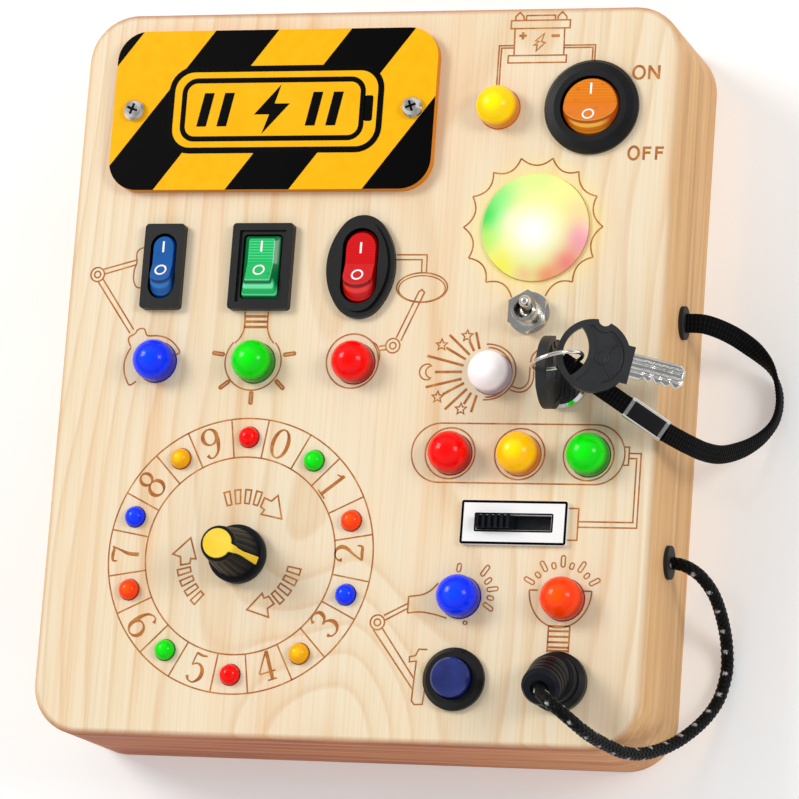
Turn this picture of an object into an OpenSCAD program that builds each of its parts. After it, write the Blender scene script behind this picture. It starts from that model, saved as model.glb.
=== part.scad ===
// Wooden busy board: a milled wooden case with switches, lamps, a number dial,
// a key switch on a strap and a jack plug on a cord.
// Millimetres. The board lies on its back: X to its right, Y to its top, Z out of its front.
// The origin is the centre of the back face.

/* [Board] */
// Width of the board
board_w = 150; // [147:1:160]
// Height of the board
board_h = 178; // [175:1:190]
// Thickness of the board
board_t = 36; // [34:0.5:42]
// Radius of the board's corners
corner_r = 12; // [10:0.5:14]
// Rounding of the front edges
edge_r = 1.6; // [1:0.2:2.4]
// Thickness of the wood over the hollow
front_t = 6; // [5.6:0.1:6.6]
// Thickness of the wood beside the hollow
side_t = 8; // [7:0.5:8.5]
// Thickness of the wood beside the back panel
rim_t = 6; // [4:0.5:6.5]
// Thickness of the back panel
panel_t = 4; // [3.4:0.1:4.6]

/* [Sign plate] */
// Width of the sign plate
sign_w = 82; // [78:1:84]
// Height of the sign plate
sign_h = 40; // [36:1:42]
// Thickness of the sign plate
sign_t = 2.5; // [1.5:0.1:3]
// Corner radius of the sign plate
sign_r = 7.5; // [4:0.5:10]
// Distance between the sign's screws
sign_screw_span = 71; // [66:1:72]

/* [Rocker switches] */
// Height of a rocker's bezel above the wood
bezel_t = 2; // [1.4:0.1:2.6]
// Depth of a rocker's housing behind the face
housing_d = 14; // [12:0.5:16]
// Angle that a rocker turns through
rocker_turn = 24; // [18:1:26]
// Gap between a rocker cap and its housing
rocker_gap = 0.35; // [0.3:0.05:0.45]

/* [Lamps] */
// Diameter of a large lamp
lamp_d = 10; // [9:0.1:10.4]
// Height of a large lamp
lamp_h = 13.5; // [12.5:0.1:14.5]
// Diameter of a dial lamp
small_lamp_d = 5; // [4.4:0.1:5.4]
// Height of a dial lamp
small_lamp_h = 8.6; // [8:0.1:9.4]
// Diameter of the sun lens
sun_d = 26; // [24:0.5:27]
// Height of the sun lens's dome
sun_rise = 3.5; // [2:0.1:5]

/* [Dial] */
// Radius of the circle of dial lamps
dial_lamp_r = 28.6; // [27:0.1:29]
// Diameter of the knob at its base
knob_d = 14; // [13.8:0.1:16]
// Diameter of the knob at its top
knob_top_d = 8.6; // [8:0.1:10]
// Height of the knob above the wood
knob_h = 16; // [14:0.1:18]
// Diameter of the knob's shaft
shaft_d = 6; // [5.4:0.1:6.2]
// Angle of the knob's pointer
pointer_angle = -18; // [-180:18:180]

/* [Toggle, push button and slide switch] */
// Diameter of the toggle's bushing
bushing_d = 6; // [5.8:0.1:6.4]
// Height of the toggle's bushing above the wood
bushing_h = 5.5; // [4.5:0.1:6]
// Tilt of the toggle's lever to either side
lever_tilt = 13; // [8:1:14]
// Length of the lever above its pivot
lever_l = 12; // [9:0.5:15]
// Diameter of the push button's cap
button_d = 9.4; // [8.6:0.1:9.8]
// Travel of the push button
button_travel = 2; // [1:0.1:2.2]
// Length of the slide switch's slot
slot_l = 18.2; // [16:0.1:19]
// Length of the slide switch's knob
slider_l = 8.6; // [6:0.1:9]

/* [Key switch and keys] */
// Diameter of the lock's barrel
lock_d = 11.6; // [11.4:0.1:12]
// Diameter of the lock's turning plug
rotor_d = 9; // [8.6:0.1:9.4]
// Diameter of a key's round head
key_head_d = 17; // [16.8:0.1:17.2]
// Length of a key's head
key_head_l = 17.5; // [17.3:0.1:17.8]
// Thickness of a key's head
key_head_t = 2.3; // [2:0.1:2.4]
// Length of a key's blade
blade_l = 12.5; // [11:0.5:13.5]
// Width of a key's blade
blade_w = 5.8; // [5.4:0.1:6.6]
// Thickness of a key's blade
blade_t = 1.6; // [1.4:0.1:1.8]

/* [Jack and plug] */
// Diameter of the jack's ring
jack_ring_d = 14; // [13:0.1:15]
// Height of the jack's ring
jack_ring_t = 3.2; // [2.4:0.1:3.6]
// Diameter of the plug's pin
pin_d = 6.3; // [5.8:0.1:6.6]
// Length of the plug's pin
pin_l = 13; // [11:0.5:13.5]
// Diameter of the plug's grip
plug_d = 11.4; // [10.4:0.1:12]

/* [Fits] */
// Gap round a piece that sits in a hole in the wood
hole_gap = 0.15; // [0.1:0.05:0.25]
// Gap round a shaft that turns or slides in its bore
shaft_gap = 0.05; // [0.03:0.01:0.08]
// Gap round a piece that moves freely
free_gap = 0.3; // [0.3:0.05:0.4]

/* [Hidden] */
$fn = 64;
eps = 0.01;
face = board_t;
inner = board_t - front_t;

// Places on the front, laid out on a board of plan_w by plan_h and spread over the real one.
// The centre of the board is [0, 0].
plan_w = 150;
plan_h = 178;
function place(x, y) = [x * board_w / plan_w, y * board_h / plan_h];
sign_at = place(-25.3, 63.8);
slim_rocker_at = place(-50.4, 25);
square_rocker_at = place(-25.3, 25);
oval_rocker_at = place(-0.2, 25);
yellow_at = [place(31.2, 64), place(42.2, -20)];
blue_at = [place(-50.4, 1.6), place(30, -54)];
green_at = [place(-25.3, 1.6), place(59, -20)];
red_at = [place(-0.2, 1.6), place(25.4, -20)];
white_at = [place(33.8, -0.6)];
orange_at = [place(55, -54)];
all_lamps = concat(yellow_at, blue_at, green_at, red_at, white_at, orange_at);
dial_at = place(-25.3, -45.2);
sun_at = place(42.2, 34.7);
toggle_at = place(42, 14);
slide_at = place(42, -36.3);
strap_exit_y = place(0, 15.5)[1];
cord_exit_y = place(0, -42)[1];
exit_z = 20;
// The round rocker, the lock, the push button and the jack keep clear of the walls and the posts.
wall_room = 7.6;
round_rocker_in = 21;
lock_in = 23.7;
jack_in = 20;
round_rocker_at = [board_w / 2 - round_rocker_in, place(0, 64)[1]];
lock_at = [board_w / 2 - lock_in, place(0, -2.7)[1]];
button_at = [place(30, 0)[0], side_t + wall_room - board_h / 2];
jack_at = [board_w / 2 - jack_in, side_t + wall_room - board_h / 2];

// Back panel and its screws
post_r = 3.8;
post_in = 4;
screw_head_d = 5.3;
screw_head_h = 1.9;
screw_d = 2.5;
screw_l = 8;
counterbore_h = 2.2;
case_screws = [for (x = [-1, 1], y = [-1, 0, 1])
    [x * (board_w / 2 - rim_t - post_in - (y == 0 ? 0.5 : 0)), y * (board_h / 2 - rim_t - post_in)]];

// Battery compartment, in the upper left corner of the hollow
box_w = 64;
box_h = 38;
box_t = 13.7;
box_flange = 2.5;
box_post_gap = 0.7;
box_wall_gap = 1.5;
battery_at = [rim_t + post_in + post_r + box_post_gap + box_flange + (box_w - board_w) / 2,
              (board_h - box_h) / 2 - side_t - box_wall_gap - box_flange];
cover_t = 1.8;
battery_d = 10.5;
battery_l = 44.5;
battery_pitch = 11.6;
battery_shift = -4;
contact_t = 0.4;
contact_room = 3.1;
plate_w = 7;
cover_screw_x = 27.5;
tab_l = 1.2;
tab_w = 5;
tab_z = 0.7;

// Rocker outlines: [cap width, cap length, cap corner radius]
slim_cap = [6, 15.4, 2.95];
square_cap = [9.2, 15.2, 0.7];
oval_cap = [8.4, 17.8, 4.15];
round_cap = [14, 14, 6.98];
bezel_lip = 0.9;
slim_bezel = [10.2, 21];
square_bezel = [15.4, 21.2];
oval_bezel = [17.1, 25.2];
oval_end_r = 6.4;
round_bezel_d = 23;
vertex_h = 2;
rocker_pin_d = 1.6;
rocker_pin_l = 0.9;
pin_end_gap = 0.15;
pivot_z = face + bezel_t + 0.2 - vertex_h;

// Lamps
flange_t = 1.5;
flange_out = 0.6;
small_flange_t = 1;
small_flange_out = 0.4;
sun_flange_out = 2;
sun_wall = 1.5;
sun_lip = 0.8;
leg_l = 9;
leg_t = 0.6;
pcb_t = 1.6;

// Main circuit board. Each chip is [x, y, width, height], each can [x, y, diameter, height].
main_board_at = place(12, -8);
main_board = [52, 38];
board_hole_d = 2.4;
board_hole_in = 3;
chips = [[-14, 8, 8, 6], [2, -6, 10, 7], [15, 9, 6, 5]];
chip_t = 1.6;
cans = [[-12, -9, 6, 5], [17, -9, 9, 4]];

// Contact legs of the switches: [x size, y size, length]
rocker_leg = [4.8, 0.8, 7];
rocker_leg_pitch = 5.4;
toggle_leg = [0.8, 2, 4.5];
toggle_leg_pitch = 4.7;
slide_leg = [0.6, 1.4, 4];
slide_leg_pitch = 5;
lock_leg = [0.6, 2, 5];
lock_leg_pitch = 3;

// Toggle
washer_d = 10.2;
washer_t = 0.6;
nut_t = 2;
toggle_nut_af = 9;
toggle_case = [13.2, 7.9, 9.5];
toggle_bore_r = bushing_d / 2 - 0.7;
lever_z = face + 2;

// Nuts behind the front, wider than their barrels by panel_nut_grip
panel_nut_t = 2.5;
panel_nut_grip = 2.2;
thread_gap = 0.05;

// Push button
button_bezel_d = 14.8;
button_bezel_t = 2.4;
barrel_d = 12;
button_rise = 2.2;
button_skirt = 1.8;
button_depth = 12;
chamber_d = 7.8;
stem_d = 3;
spring_wire = 0.7;
spring_r = 2.7;
spring_seat = 9;

// Slide switch
switch_plate = [25.8, 10.5];
switch_plate_t = 1.2;
slot_w = 3.6;
switch_body = [22.6, 7.6, 8];
slider_floor = 3;
slider_rise = 2.4;
slider_travel = slot_l - slider_l - 2 * free_gap;

// Dial
shaft_depth = 4;
bushing7_d = 7;
bushing7_h = 2.3;
rotary_d = 16;
rotary_h = 9;
dial_nut_af = 10;
knob_lift = 0.4;
skirt_h = 3.4;
hollow_h = 2.7;
pointer_w = 1.9;
pointer_t = 0.5;
pointer_disc_d = 7.1;

// Lock, keys and ring
lock_flange_d = 12.6;
lock_flange_t = 2.2;
lock_depth = 16;
rotor_floor = 1.5;
key_lift = free_gap;
key_rim = 1.4;
key_field_t = 0.3;
slot_depth = 5.8;
slot_curve_r = 7.5;
neck_w = 8.6;
head_r = key_head_d / 2;
head_y = key_head_l - head_r;
key_z = face + lock_flange_t + key_lift;
ring_r = 6;
ring_wire = 0.9;
ring_turn = 16;
ring_offset = 3.9;
ring_z = key_z + key_head_l - key_rim / 2;
spare_drop = 3.1;
spare_tilt = 18;
spare_yaw = -11;
spare_side = 3.6;
rim_point = [lock_at[0] + ring_offset * cos(ring_turn),
             lock_at[1] + ring_offset * sin(ring_turn),
             ring_z - spare_drop];

// Jack and plug
jack_barrel_d = 10.8;
jack_depth = 15;
plug_lift = free_gap;
plug_z = face + jack_ring_t + plug_lift;
collar_h = 5;
grip_r = plug_d / 2 - 0.8;
grip_l = 8.3;
grip_lean = 28;
recess_t = 0.7;
recess_r = 1.9;
grip_axis = [0, -sin(grip_lean), cos(grip_lean)];
plug_tip = [jack_at[0], jack_at[1], plug_z + collar_h] + (grip_l - recess_t) * grip_axis;

// Side grommets
grommet_d = 8;
grommet_t = 1;
grommet_l = 8;
grommet_hole_d = 6;
exit_x = board_w / 2 + grommet_t;

// A row of points, each measured from one place
function from(place, points) = [for (p = points) place + p];

// Strap: a flat webbing from the side of the board to the ferrule on the ring's loop.
// Its first points are measured from its exit, its last ones from the lock.
strap_w = 4.6;
strap_t = 1.4;
strap_route = concat(
    from([exit_x, strap_exit_y, exit_z], [[0, 0, 0], [4.2, -0.1, -0.6], [8.2, -1, -3.4],
        [11.8, -2.5, -7.4], [15, -4.7, -11.4], [17.6, -7.7, -14.6], [19.2, -11.5, -16.4],
        [19.7, -15.7, -17], [19, -19.9, -16.6], [17.2, -23.7, -14.6], [14.9, -27.1, -10.6],
        [12.4, -29.8, -5.4]]),
    from([lock_at[0], lock_at[1], face], [[34.8, -13.5, -15.4], [32.7, -14.1, -9.2],
        [30.8, -13.9, -3.4], [28.8, -13.3, 1.4], [26.6, -12.4, 5]]));
// Direction of the webbing's width at each point of its route
strap_across = [[0, 1, 0], [0, 1, 0.1], [0.1, 1, 0.3], [0.2, 1, 0.7], [0.2, 0.8, 1.1],
    [0.2, 0.4, 1.2], [0, 0.1, 1.2], [0, 0, 1.2], [0, 0, 1.2], [0, 0.2, 1.2], [0.1, 0.6, 1],
    [0.2, 0.9, 0.7], [0.4, 1, 0.4], [0.5, 1, 0.2], [0.5, 1, 0.1], [0.5, 1, 0], [0.5, 1, 0]];
ferrule_l = 10.3;
ferrule_w = 5.4;
ferrule_t = 2.4;
ferrule_start = strap_route[len(strap_route) - 1];
loop_w = 4.4;
loop_t = 2;
loop_end = 1.6;
foot_shift = 1;
ring_foot = [lock_at[0] + (ring_offset + foot_shift) * cos(ring_turn),
             lock_at[1] + (ring_offset + foot_shift) * sin(ring_turn),
             ring_z - sqrt(ring_r * ring_r - foot_shift * foot_shift)];
strap_dir = (ring_foot - ferrule_start) / norm(ring_foot - ferrule_start);
loop_l = norm(ring_foot - ferrule_start) - ferrule_l + loop_end;

// Cord: a round braided cord from the side of the board to the plug. Its points are measured
// from its exit, then from the board's lower right corner, then from the jack.
cord_d = 3;
cord_route = concat(
    from([exit_x, cord_exit_y, exit_z], [[0, 0, 0], [3.6, -0.8, 0], [7, -3, -1.8],
        [9.2, -6.4, -5.8], [10.1, -10.6, -10.8], [10.4, -15.4, -15.6], [10.4, -20.8, -18.2]]),
    from([board_w / 2, -board_h / 2, exit_z], [[11.1, 22.2, -18], [10.3, 17.4, -16.2],
        [8.7, 13, -13], [6.5, 9, -8.8], [3.9, 5.4, -3.8], [1.2, 2.6, 2], [-1.4, 0.7, 8.6],
        [-3.8, 0.1, 15.4]]),
    from([jack_at[0], jack_at[1], face], [[14, -14.8, 5.6], [12.6, -14.2, 10], [11.4, -13.4, 14.4],
        [9.8, -12, 18.4], [6.9, -9.6, 20.8], [3.4, -7, 20.4], [1, -5, 17.7]]),
    [plug_tip]);
// A point inside the cord's loop, which its rings face
cord_middle = [jack_at[0] + 15, jack_at[1] + 11.4, exit_z + 4];

// ---------- helpers ----------

module at(place, z = 0) {
    translate([place[0], place[1], z]) children();
}

// A rectangle with round corners
module rounded(w, h, r) {
    square([w - 2 * r, h], center = true);
    square([w, h - 2 * r], center = true);
    for (x = [-1, 1], y = [-1, 1])
        translate([x * (w / 2 - r), y * (h / 2 - r)]) circle(r);
}

// An oval of four arcs, with ends of radius end_r
module oval(w, h, end_r) {
    c = h / 2 - end_r;
    s = w / 2 - end_r;
    d = (c * c - s * s) / (2 * s);
    meet_y = c + end_r * c / norm([c, d]);
    for (y = [-1, 1]) translate([0, y * c]) circle(end_r);
    intersection() {
        translate([d, 0]) circle(d + w / 2, $fn = 128);
        translate([-d, 0]) circle(d + w / 2, $fn = 128);
        square([w, 2 * meet_y], center = true);
    }
}

module ring(outer, inner_d, h) {
    difference() {
        cylinder(d = outer, h = h);
        translate([0, 0, -eps]) cylinder(d = inner_d, h = h + 2 * eps);
    }
}

module hex_nut(across_flats, bore_d, h) {
    difference() {
        rotate(30) cylinder(d = across_flats / cos(30), h = h, $fn = 6);
        translate([0, 0, -eps]) cylinder(d = bore_d, h = h + 2 * eps);
    }
}

// A quarter of a disc, for a rounded edge
module quarter(r) {
    intersection() {
        circle(r);
        square(r);
    }
}

// A slab with round corners and a rounded top edge
module soft_slab(w, h, t, r, e) {
    linear_extrude(t - e) rounded(w, h, r);
    translate([0, 0, t - e]) {
        linear_extrude(e) rounded(w - 2 * e, h - 2 * e, r - e);
        for (side = [0 : 3]) rotate(90 * side) {
            long = side % 2 == 0 ? h : w;
            far = side % 2 == 0 ? w : h;
            translate([far / 2 - e, 0, 0]) rotate([90, 0, 0])
                linear_extrude(long - 2 * r, center = true) quarter(e);
            translate([far / 2 - r, long / 2 - r, 0])
                rotate_extrude(angle = 90) translate([r - e, 0]) quarter(e);
        }
    }
}

// ---------- smooth routes ----------

function unit(v) = v / norm(v);
function before(v, i) = i > 0 ? v[i - 1] : 2 * v[0] - v[1];
function after(v, i) = i < len(v) - 1 ? v[i + 1] : 2 * v[len(v) - 1] - v[len(v) - 2];
function blend(a, b, c, d, t) = 0.5 * (2 * b + (c - a) * t + (2 * a - 5 * b + 4 * c - d) * t * t
    + (3 * b - a - 3 * c + d) * t * t * t);
function smooth(v, n) = concat([for (i = [0 : len(v) - 2]) for (k = [0 : n - 1])
    blend(before(v, i), v[i], v[i + 1], after(v, i + 1), k / n)], [v[len(v) - 1]]);

// A tube along a path. across gives the direction of the section's first axis at each ring.
module sweep(path, across, section, first_dir, last_dir) {
    n = len(section);
    last = len(path) - 1;
    rings = [for (i = [0 : last])
        let (t = i == 0 ? unit(first_dir) : i == last ? unit(last_dir) : unit(path[i + 1] - path[i - 1]),
             a = unit(across[i] - (across[i] * t) * t),
             b = cross(t, a))
        for (p = section) path[i] + p[0] * a + p[1] * b];
    sides = [for (i = [0 : last - 1], k = [0 : n - 1])
        let (k2 = (k + 1) % n) each [
            [i * n + k, (i + 1) * n + k, (i + 1) * n + k2],
            [i * n + k, (i + 1) * n + k2, i * n + k2]]];
    caps = [[for (k = [0 : n - 1]) k], [for (k = [n - 1 : -1 : 0]) last * n + k]];
    polyhedron(rings, concat(sides, caps), convexity = 10);
}

// ---------- the case ----------

module lamp_hole(place, d, out, t) {
    at(place, inner - eps) {
        cylinder(d = d + 2 * hole_gap, h = front_t + 1);
        cylinder(d = d + 2 * out + 2 * hole_gap, h = t + eps);
    }
}

module front_hole(place, d) {
    at(place, inner - 1) cylinder(d = d + 2 * hole_gap, h = front_t + 2);
}

// A screw post that grows out of the case's wall, on the side that x and y point to
module post(x, y) {
    cylinder(r = post_r, h = inner);
    translate([x > 0 ? 0 : -side_t, -post_r, 0]) cube([side_t, 2 * post_r, inner]);
    if (y != 0) translate([-post_r, y > 0 ? 0 : -side_t, 0]) cube([2 * post_r, side_t, inner]);
    if (y != 0) translate([x > 0 ? 0 : -side_t, y > 0 ? 0 : -side_t, 0]) cube([side_t, side_t, inner]);
}

module wooden_case() {
    color("burlywood") difference() {
        soft_slab(board_w, board_h, board_t, corner_r, edge_r);
        translate([0, 0, -eps]) linear_extrude(panel_t + eps)
            rounded(board_w - 2 * rim_t, board_h - 2 * rim_t, corner_r - rim_t);
        difference() {
            linear_extrude(inner) rounded(board_w - 2 * side_t, board_h - 2 * side_t, 3);
            for (p = case_screws) at(p) post(sign(p[0]), sign(p[1]));
        }
        for (p = case_screws) at(p, panel_t - eps)
            cylinder(d = screw_d + 0.1, h = screw_l);
        for (x = [-1, 1]) at(sign_at, inner - 1) translate([x * sign_screw_span / 2, 0, 0])
            cylinder(d = screw_d + 0.1, h = front_t + 2);
        for (p = all_lamps) lamp_hole(p, lamp_d, flange_out, flange_t);
        for (k = [0 : 9]) lamp_hole(dial_lamp_at(k), small_lamp_d, small_flange_out, small_flange_t);
        lamp_hole(sun_at, sun_d, sun_flange_out, flange_t);
        front_hole(round_rocker_at, round_bezel_d - 3);
        for (r = [[slim_rocker_at, slim_bezel], [square_rocker_at, square_bezel]])
            at(r[0], inner - 1) linear_extrude(front_t + 2) housing_outline(r[1], hole_gap);
        at(oval_rocker_at, inner - 1) linear_extrude(front_t + 2) oval_outline(bezel_lip - hole_gap);
        front_hole(toggle_at, bushing_d);
        front_hole(lock_at, lock_d);
        front_hole(dial_at, bushing7_d);
        front_hole(button_at, barrel_d);
        front_hole(jack_at, jack_barrel_d);
        at(slide_at, inner - 1) linear_extrude(front_t + 2)
            rounded(switch_body[0] + 2 * hole_gap, switch_body[1] + 2 * hole_gap, 0.6);
        for (y = [strap_exit_y, cord_exit_y])
            translate([board_w / 2 - side_t - 1, y, exit_z]) rotate([0, 90, 0])
                cylinder(d = grommet_hole_d + 2 * hole_gap, h = side_t + 2);
    }
}

module back_panel() {
    gap = 0.2;
    color("tan") difference() {
        linear_extrude(panel_t)
            rounded(board_w - 2 * rim_t - 2 * gap, board_h - 2 * rim_t - 2 * gap, corner_r - rim_t - gap);
        at(battery_at) {
            translate([0, 0, -eps]) linear_extrude(panel_t + 1) rounded(box_w + 2 * gap, box_h + 2 * gap, 2);
            for (y = [-10, 10]) translate([-box_w / 2 - tab_l - gap, y - tab_w / 2 - gap, tab_z - gap])
                cube([tab_l + 1, tab_w + 2 * gap, cover_t - tab_z + 2 * gap]);
        }
        for (p = case_screws) at(p, -eps) {
            cylinder(d = screw_d + 0.3, h = panel_t + 1);
            cylinder(d = screw_head_d + 0.5, h = counterbore_h + eps);
        }
    }
}

// A pan-head screw with its head's seat at z = 0 and its shank down
module pan_screw() {
    difference() {
        union() {
            rotate_extrude() polygon([[0, 0], [screw_head_d / 2, 0], [screw_head_d / 2, 0.9],
                [screw_head_d / 2 - 0.5, 1.5], [screw_head_d / 2 - 1.3, screw_head_h], [0, screw_head_h]]);
            translate([0, 0, -screw_l + 1.2]) cylinder(d = screw_d, h = screw_l - 1.2);
            translate([0, 0, -screw_l]) cylinder(d1 = 0.6, d2 = screw_d, h = 1.2);
        }
        for (a = [0, 90]) rotate(a) translate([0, 0, screw_head_h])
            cube([2.8, 0.6, 1.8], center = true);
    }
}

module screws() {
    color("gainsboro") {
        for (x = [-1, 1]) at(sign_at, face + sign_t) translate([x * sign_screw_span / 2, 0, 0])
            rotate(x * 20) pan_screw();
        for (p = case_screws) at(p, counterbore_h) mirror([0, 0, 1]) pan_screw();
        at(battery_at, cover_t - 0.4) translate([cover_screw_x, 0, 0]) rotate([180, 0, 0])
            scale(0.55) pan_screw();
    }
}

module battery_box() {
    color("dimgray") at(battery_at) difference() {
        union() {
            translate([0, 0, cover_t]) linear_extrude(box_t) rounded(box_w, box_h, 1.8);
            translate([0, 0, panel_t]) linear_extrude(1.2) rounded(box_w + 2 * box_flange, box_h + 2 * box_flange, 2);
        }
        translate([battery_shift, 0, 0]) {
            bay = battery_l + 2 * contact_room + 2 * contact_t;
            for (k = [-1 : 1]) {
                translate([-bay / 2, k * battery_pitch - battery_d / 2 - 0.15, -eps])
                    cube([bay, battery_d + 0.3, cover_t + 0.4 + battery_d / 2]);
                translate([-bay / 2, k * battery_pitch, cover_t + 0.4 + battery_d / 2]) rotate([0, 90, 0])
                    cylinder(d = battery_d + 0.3, h = bay);
            }
        }
        translate([cover_screw_x, 0, 0]) cylinder(d = 1.5, h = cover_t + 6);
    }
}

module battery_cover() {
    color("dimgray") at(battery_at) difference() {
        union() {
            linear_extrude(cover_t) rounded(box_w - 0.2, box_h - 0.2, 1.8);
            for (y = [-10, 10]) translate([0.1 - box_w / 2 - tab_l, y - tab_w / 2, tab_z])
                cube([tab_l + 1, tab_w, cover_t - tab_z]);
        }
        translate([cover_screw_x, 0, -eps]) {
            cylinder(d = 1.7, h = cover_t + 1);
            cylinder(d = 3.2, h = cover_t - 0.4 + eps);
        }
        for (k = [0 : 3]) translate([-26 + 2 * k, -6, -eps]) cube([0.9, 12, 0.5]);
    }
}

module batteries() {
    color("goldenrod") at(battery_at, cover_t + 0.4 + battery_d / 2)
        for (k = [-1 : 1]) translate([battery_shift, k * battery_pitch, 0])
            rotate([0, k == 0 ? -90 : 90, 0]) {
                translate([0, 0, -battery_l / 2]) cylinder(d = battery_d, h = battery_l - 1);
                translate([0, 0, battery_l / 2 - 1]) cylinder(d = 3.8, h = 1);
            }
}

module battery_contacts() {
    color("silver") at(battery_at, cover_t + 0.4 + battery_d / 2) translate([battery_shift, 0, 0])
        for (k = [-1 : 1]) translate([0, k * battery_pitch, 0]) {
            flip = k == 0 ? -1 : 1;
            end = battery_l / 2 + contact_room;
            translate([flip * (end + contact_t / 2), 0, 0]) cube([contact_t, plate_w, plate_w], center = true);
            translate([flip * (end - contact_room / 2), 0, 0]) cube([contact_room, 4, 3], center = true);
            translate([-flip * (end + contact_t / 2), 0, 0]) cube([contact_t, plate_w, plate_w], center = true);
            translate([-flip * end, 0, 0]) rotate([0, flip * 90, 0])
                cylinder(d1 = 7, d2 = 4, h = contact_room);
        }
}

// ---------- boards and legs ----------

module circuit_boards() {
    color("seagreen") {
        at(main_board_at, panel_t) difference() {
            union() {
                linear_extrude(pcb_t) rounded(main_board[0], main_board[1], 1.5);
                for (p = chips)
                    translate([p[0], p[1], pcb_t]) linear_extrude(chip_t) square([p[2], p[3]], center = true);
                for (p = cans) translate([p[0], p[1], pcb_t]) cylinder(d = p[2], h = p[3]);
            }
            for (x = [-1, 1], y = [-1, 1])
                translate([x * (main_board[0] / 2 - board_hole_in), y * (main_board[1] / 2 - board_hole_in), -1])
                    cylinder(d = board_hole_d, h = pcb_t + 2);
        }
        at(dial_at, inner - pcb_t) ring(2 * (dial_lamp_r + 2.8), rotary_d + 1.2, pcb_t);
        at(sun_at, inner - pcb_t) cylinder(d = sun_d + 3, h = pcb_t);
        at(sun_at, inner) translate([-2.5, -2.5, 0]) cube([5, 5, 1.6]);
    }
}

module solder_legs() {
    color("silver") {
        for (p = all_lamps, x = [-1, 1]) at(p, inner - leg_l) translate([x * 1.27, 0, leg_l / 2])
            cube([leg_t, leg_t, leg_l], center = true);
        for (r = [slim_rocker_at, square_rocker_at, oval_rocker_at, round_rocker_at], y = [-1, 0, 1])
            at(r, face - housing_d - rocker_leg[2] / 2) translate([0, y * rocker_leg_pitch, 0])
                cube(rocker_leg, center = true);
        for (x = [-1, 0, 1]) {
            at(toggle_at, inner - toggle_case[2] - toggle_leg[2] / 2) translate([x * toggle_leg_pitch, 0, 0])
                cube(toggle_leg, center = true);
            at(slide_at, face - switch_body[2] - slide_leg[2] / 2) translate([x * slide_leg_pitch, 0, 0])
                cube(slide_leg, center = true);
            at(lock_at, face - lock_depth - lock_leg[2] / 2) translate([x * lock_leg_pitch, 0, 0])
                cube(lock_leg, center = true);
        }
    }
}

// ---------- sign plate ----------

module sign_plate() {
    color("gold") at(sign_at, face) difference() {
        linear_extrude(sign_t) rounded(sign_w, sign_h, sign_r);
        for (x = [-1, 1]) translate([x * sign_screw_span / 2, 0, -eps])
            cylinder(d = screw_d + 0.3, h = sign_t + 1);
    }
}

// ---------- rocker switches ----------

// A rectangular housing's outline, or with a gap the hole for it
module housing_outline(bezel, gap = 0) {
    grow = 2 * (gap - bezel_lip);
    rounded(bezel[0] + grow, bezel[1] + grow, 0.6);
}

// The oval bezel's outline, drawn in by some distance
module oval_outline(inset) {
    oval(oval_bezel[0] - 2 * inset, oval_bezel[1] - 2 * inset, oval_end_r - inset);
}

// A drum about the X axis: it turns inside its opening and never meets the ends.
module drum(w, l, r) {
    rotate([0, 90, 0]) rotate_extrude() intersection() {
        rounded(l, w, r);
        translate([0, -w]) square([l, 2 * w]);
    }
}

// A rocker cap about its pivot. Its two top faces meet at vertex_h over the pivot.
module rocker_cap(cap) {
    half = rocker_turn / 2;
    l = cap[1];
    rotate([-half, 0, 0]) intersection() {
        drum(cap[0], l, cap[2]);
        rotate([90, 0, 90]) linear_extrude(cap[0] + 2, center = true) polygon([
            [-l, -l / 2 + 2], [l, -l / 2 + 2], [l, vertex_h + l * tan(half)],
            [0, vertex_h], [-l, vertex_h + l * tan(half)]]);
    }
    rotate([0, 90, 0]) cylinder(d = rocker_pin_d, h = cap[0] + 2 * rocker_pin_l, center = true);
}

// The opening and pin holes that a cap needs
module rocker_room(cap) {
    translate([0, 0, -housing_d + 3.5]) linear_extrude(housing_d + 4)
        rounded(cap[0] + 2 * rocker_gap, cap[1] + 2 * rocker_gap, cap[2] + rocker_gap - 0.01);
    rotate([0, 90, 0]) cylinder(d = rocker_pin_d + 2 * shaft_gap,
        h = cap[0] + 2 * (rocker_pin_l + pin_end_gap), center = true);
}

module slim_rocker_frame() {
    color("#202022") at(slim_rocker_at) difference() {
        union() {
            translate([0, 0, face]) linear_extrude(bezel_t) rounded(slim_bezel[0], slim_bezel[1], 1);
            translate([0, 0, face - housing_d]) linear_extrude(housing_d) housing_outline(slim_bezel);
        }
        translate([0, 0, pivot_z]) rocker_room(slim_cap);
    }
}

module square_rocker_frame() {
    step_w = 0.9;
    step_t = 0.7;
    color("#202022") at(square_rocker_at) difference() {
        union() {
            translate([0, 0, face]) linear_extrude(bezel_t) rounded(square_bezel[0], square_bezel[1], 0.9);
            translate([0, 0, face - housing_d]) linear_extrude(housing_d) housing_outline(square_bezel);
        }
        translate([0, 0, face + bezel_t - step_t]) linear_extrude(2)
            square([square_cap[0] + 2 * (rocker_gap + step_w), square_cap[1] + 2 * (rocker_gap + step_w)],
                center = true);
        translate([0, 0, pivot_z]) rocker_room(square_cap);
    }
}

module oval_rocker_frame() {
    color("#202022") at(oval_rocker_at) difference() {
        union() {
            translate([0, 0, face]) linear_extrude(bezel_t - 0.4) oval_outline(0);
            translate([0, 0, face]) linear_extrude(bezel_t + 0.3) oval_outline(1.5);
            translate([0, 0, face - housing_d]) linear_extrude(housing_d) oval_outline(bezel_lip);
        }
        translate([0, 0, pivot_z]) rocker_room(oval_cap);
    }
}

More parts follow.
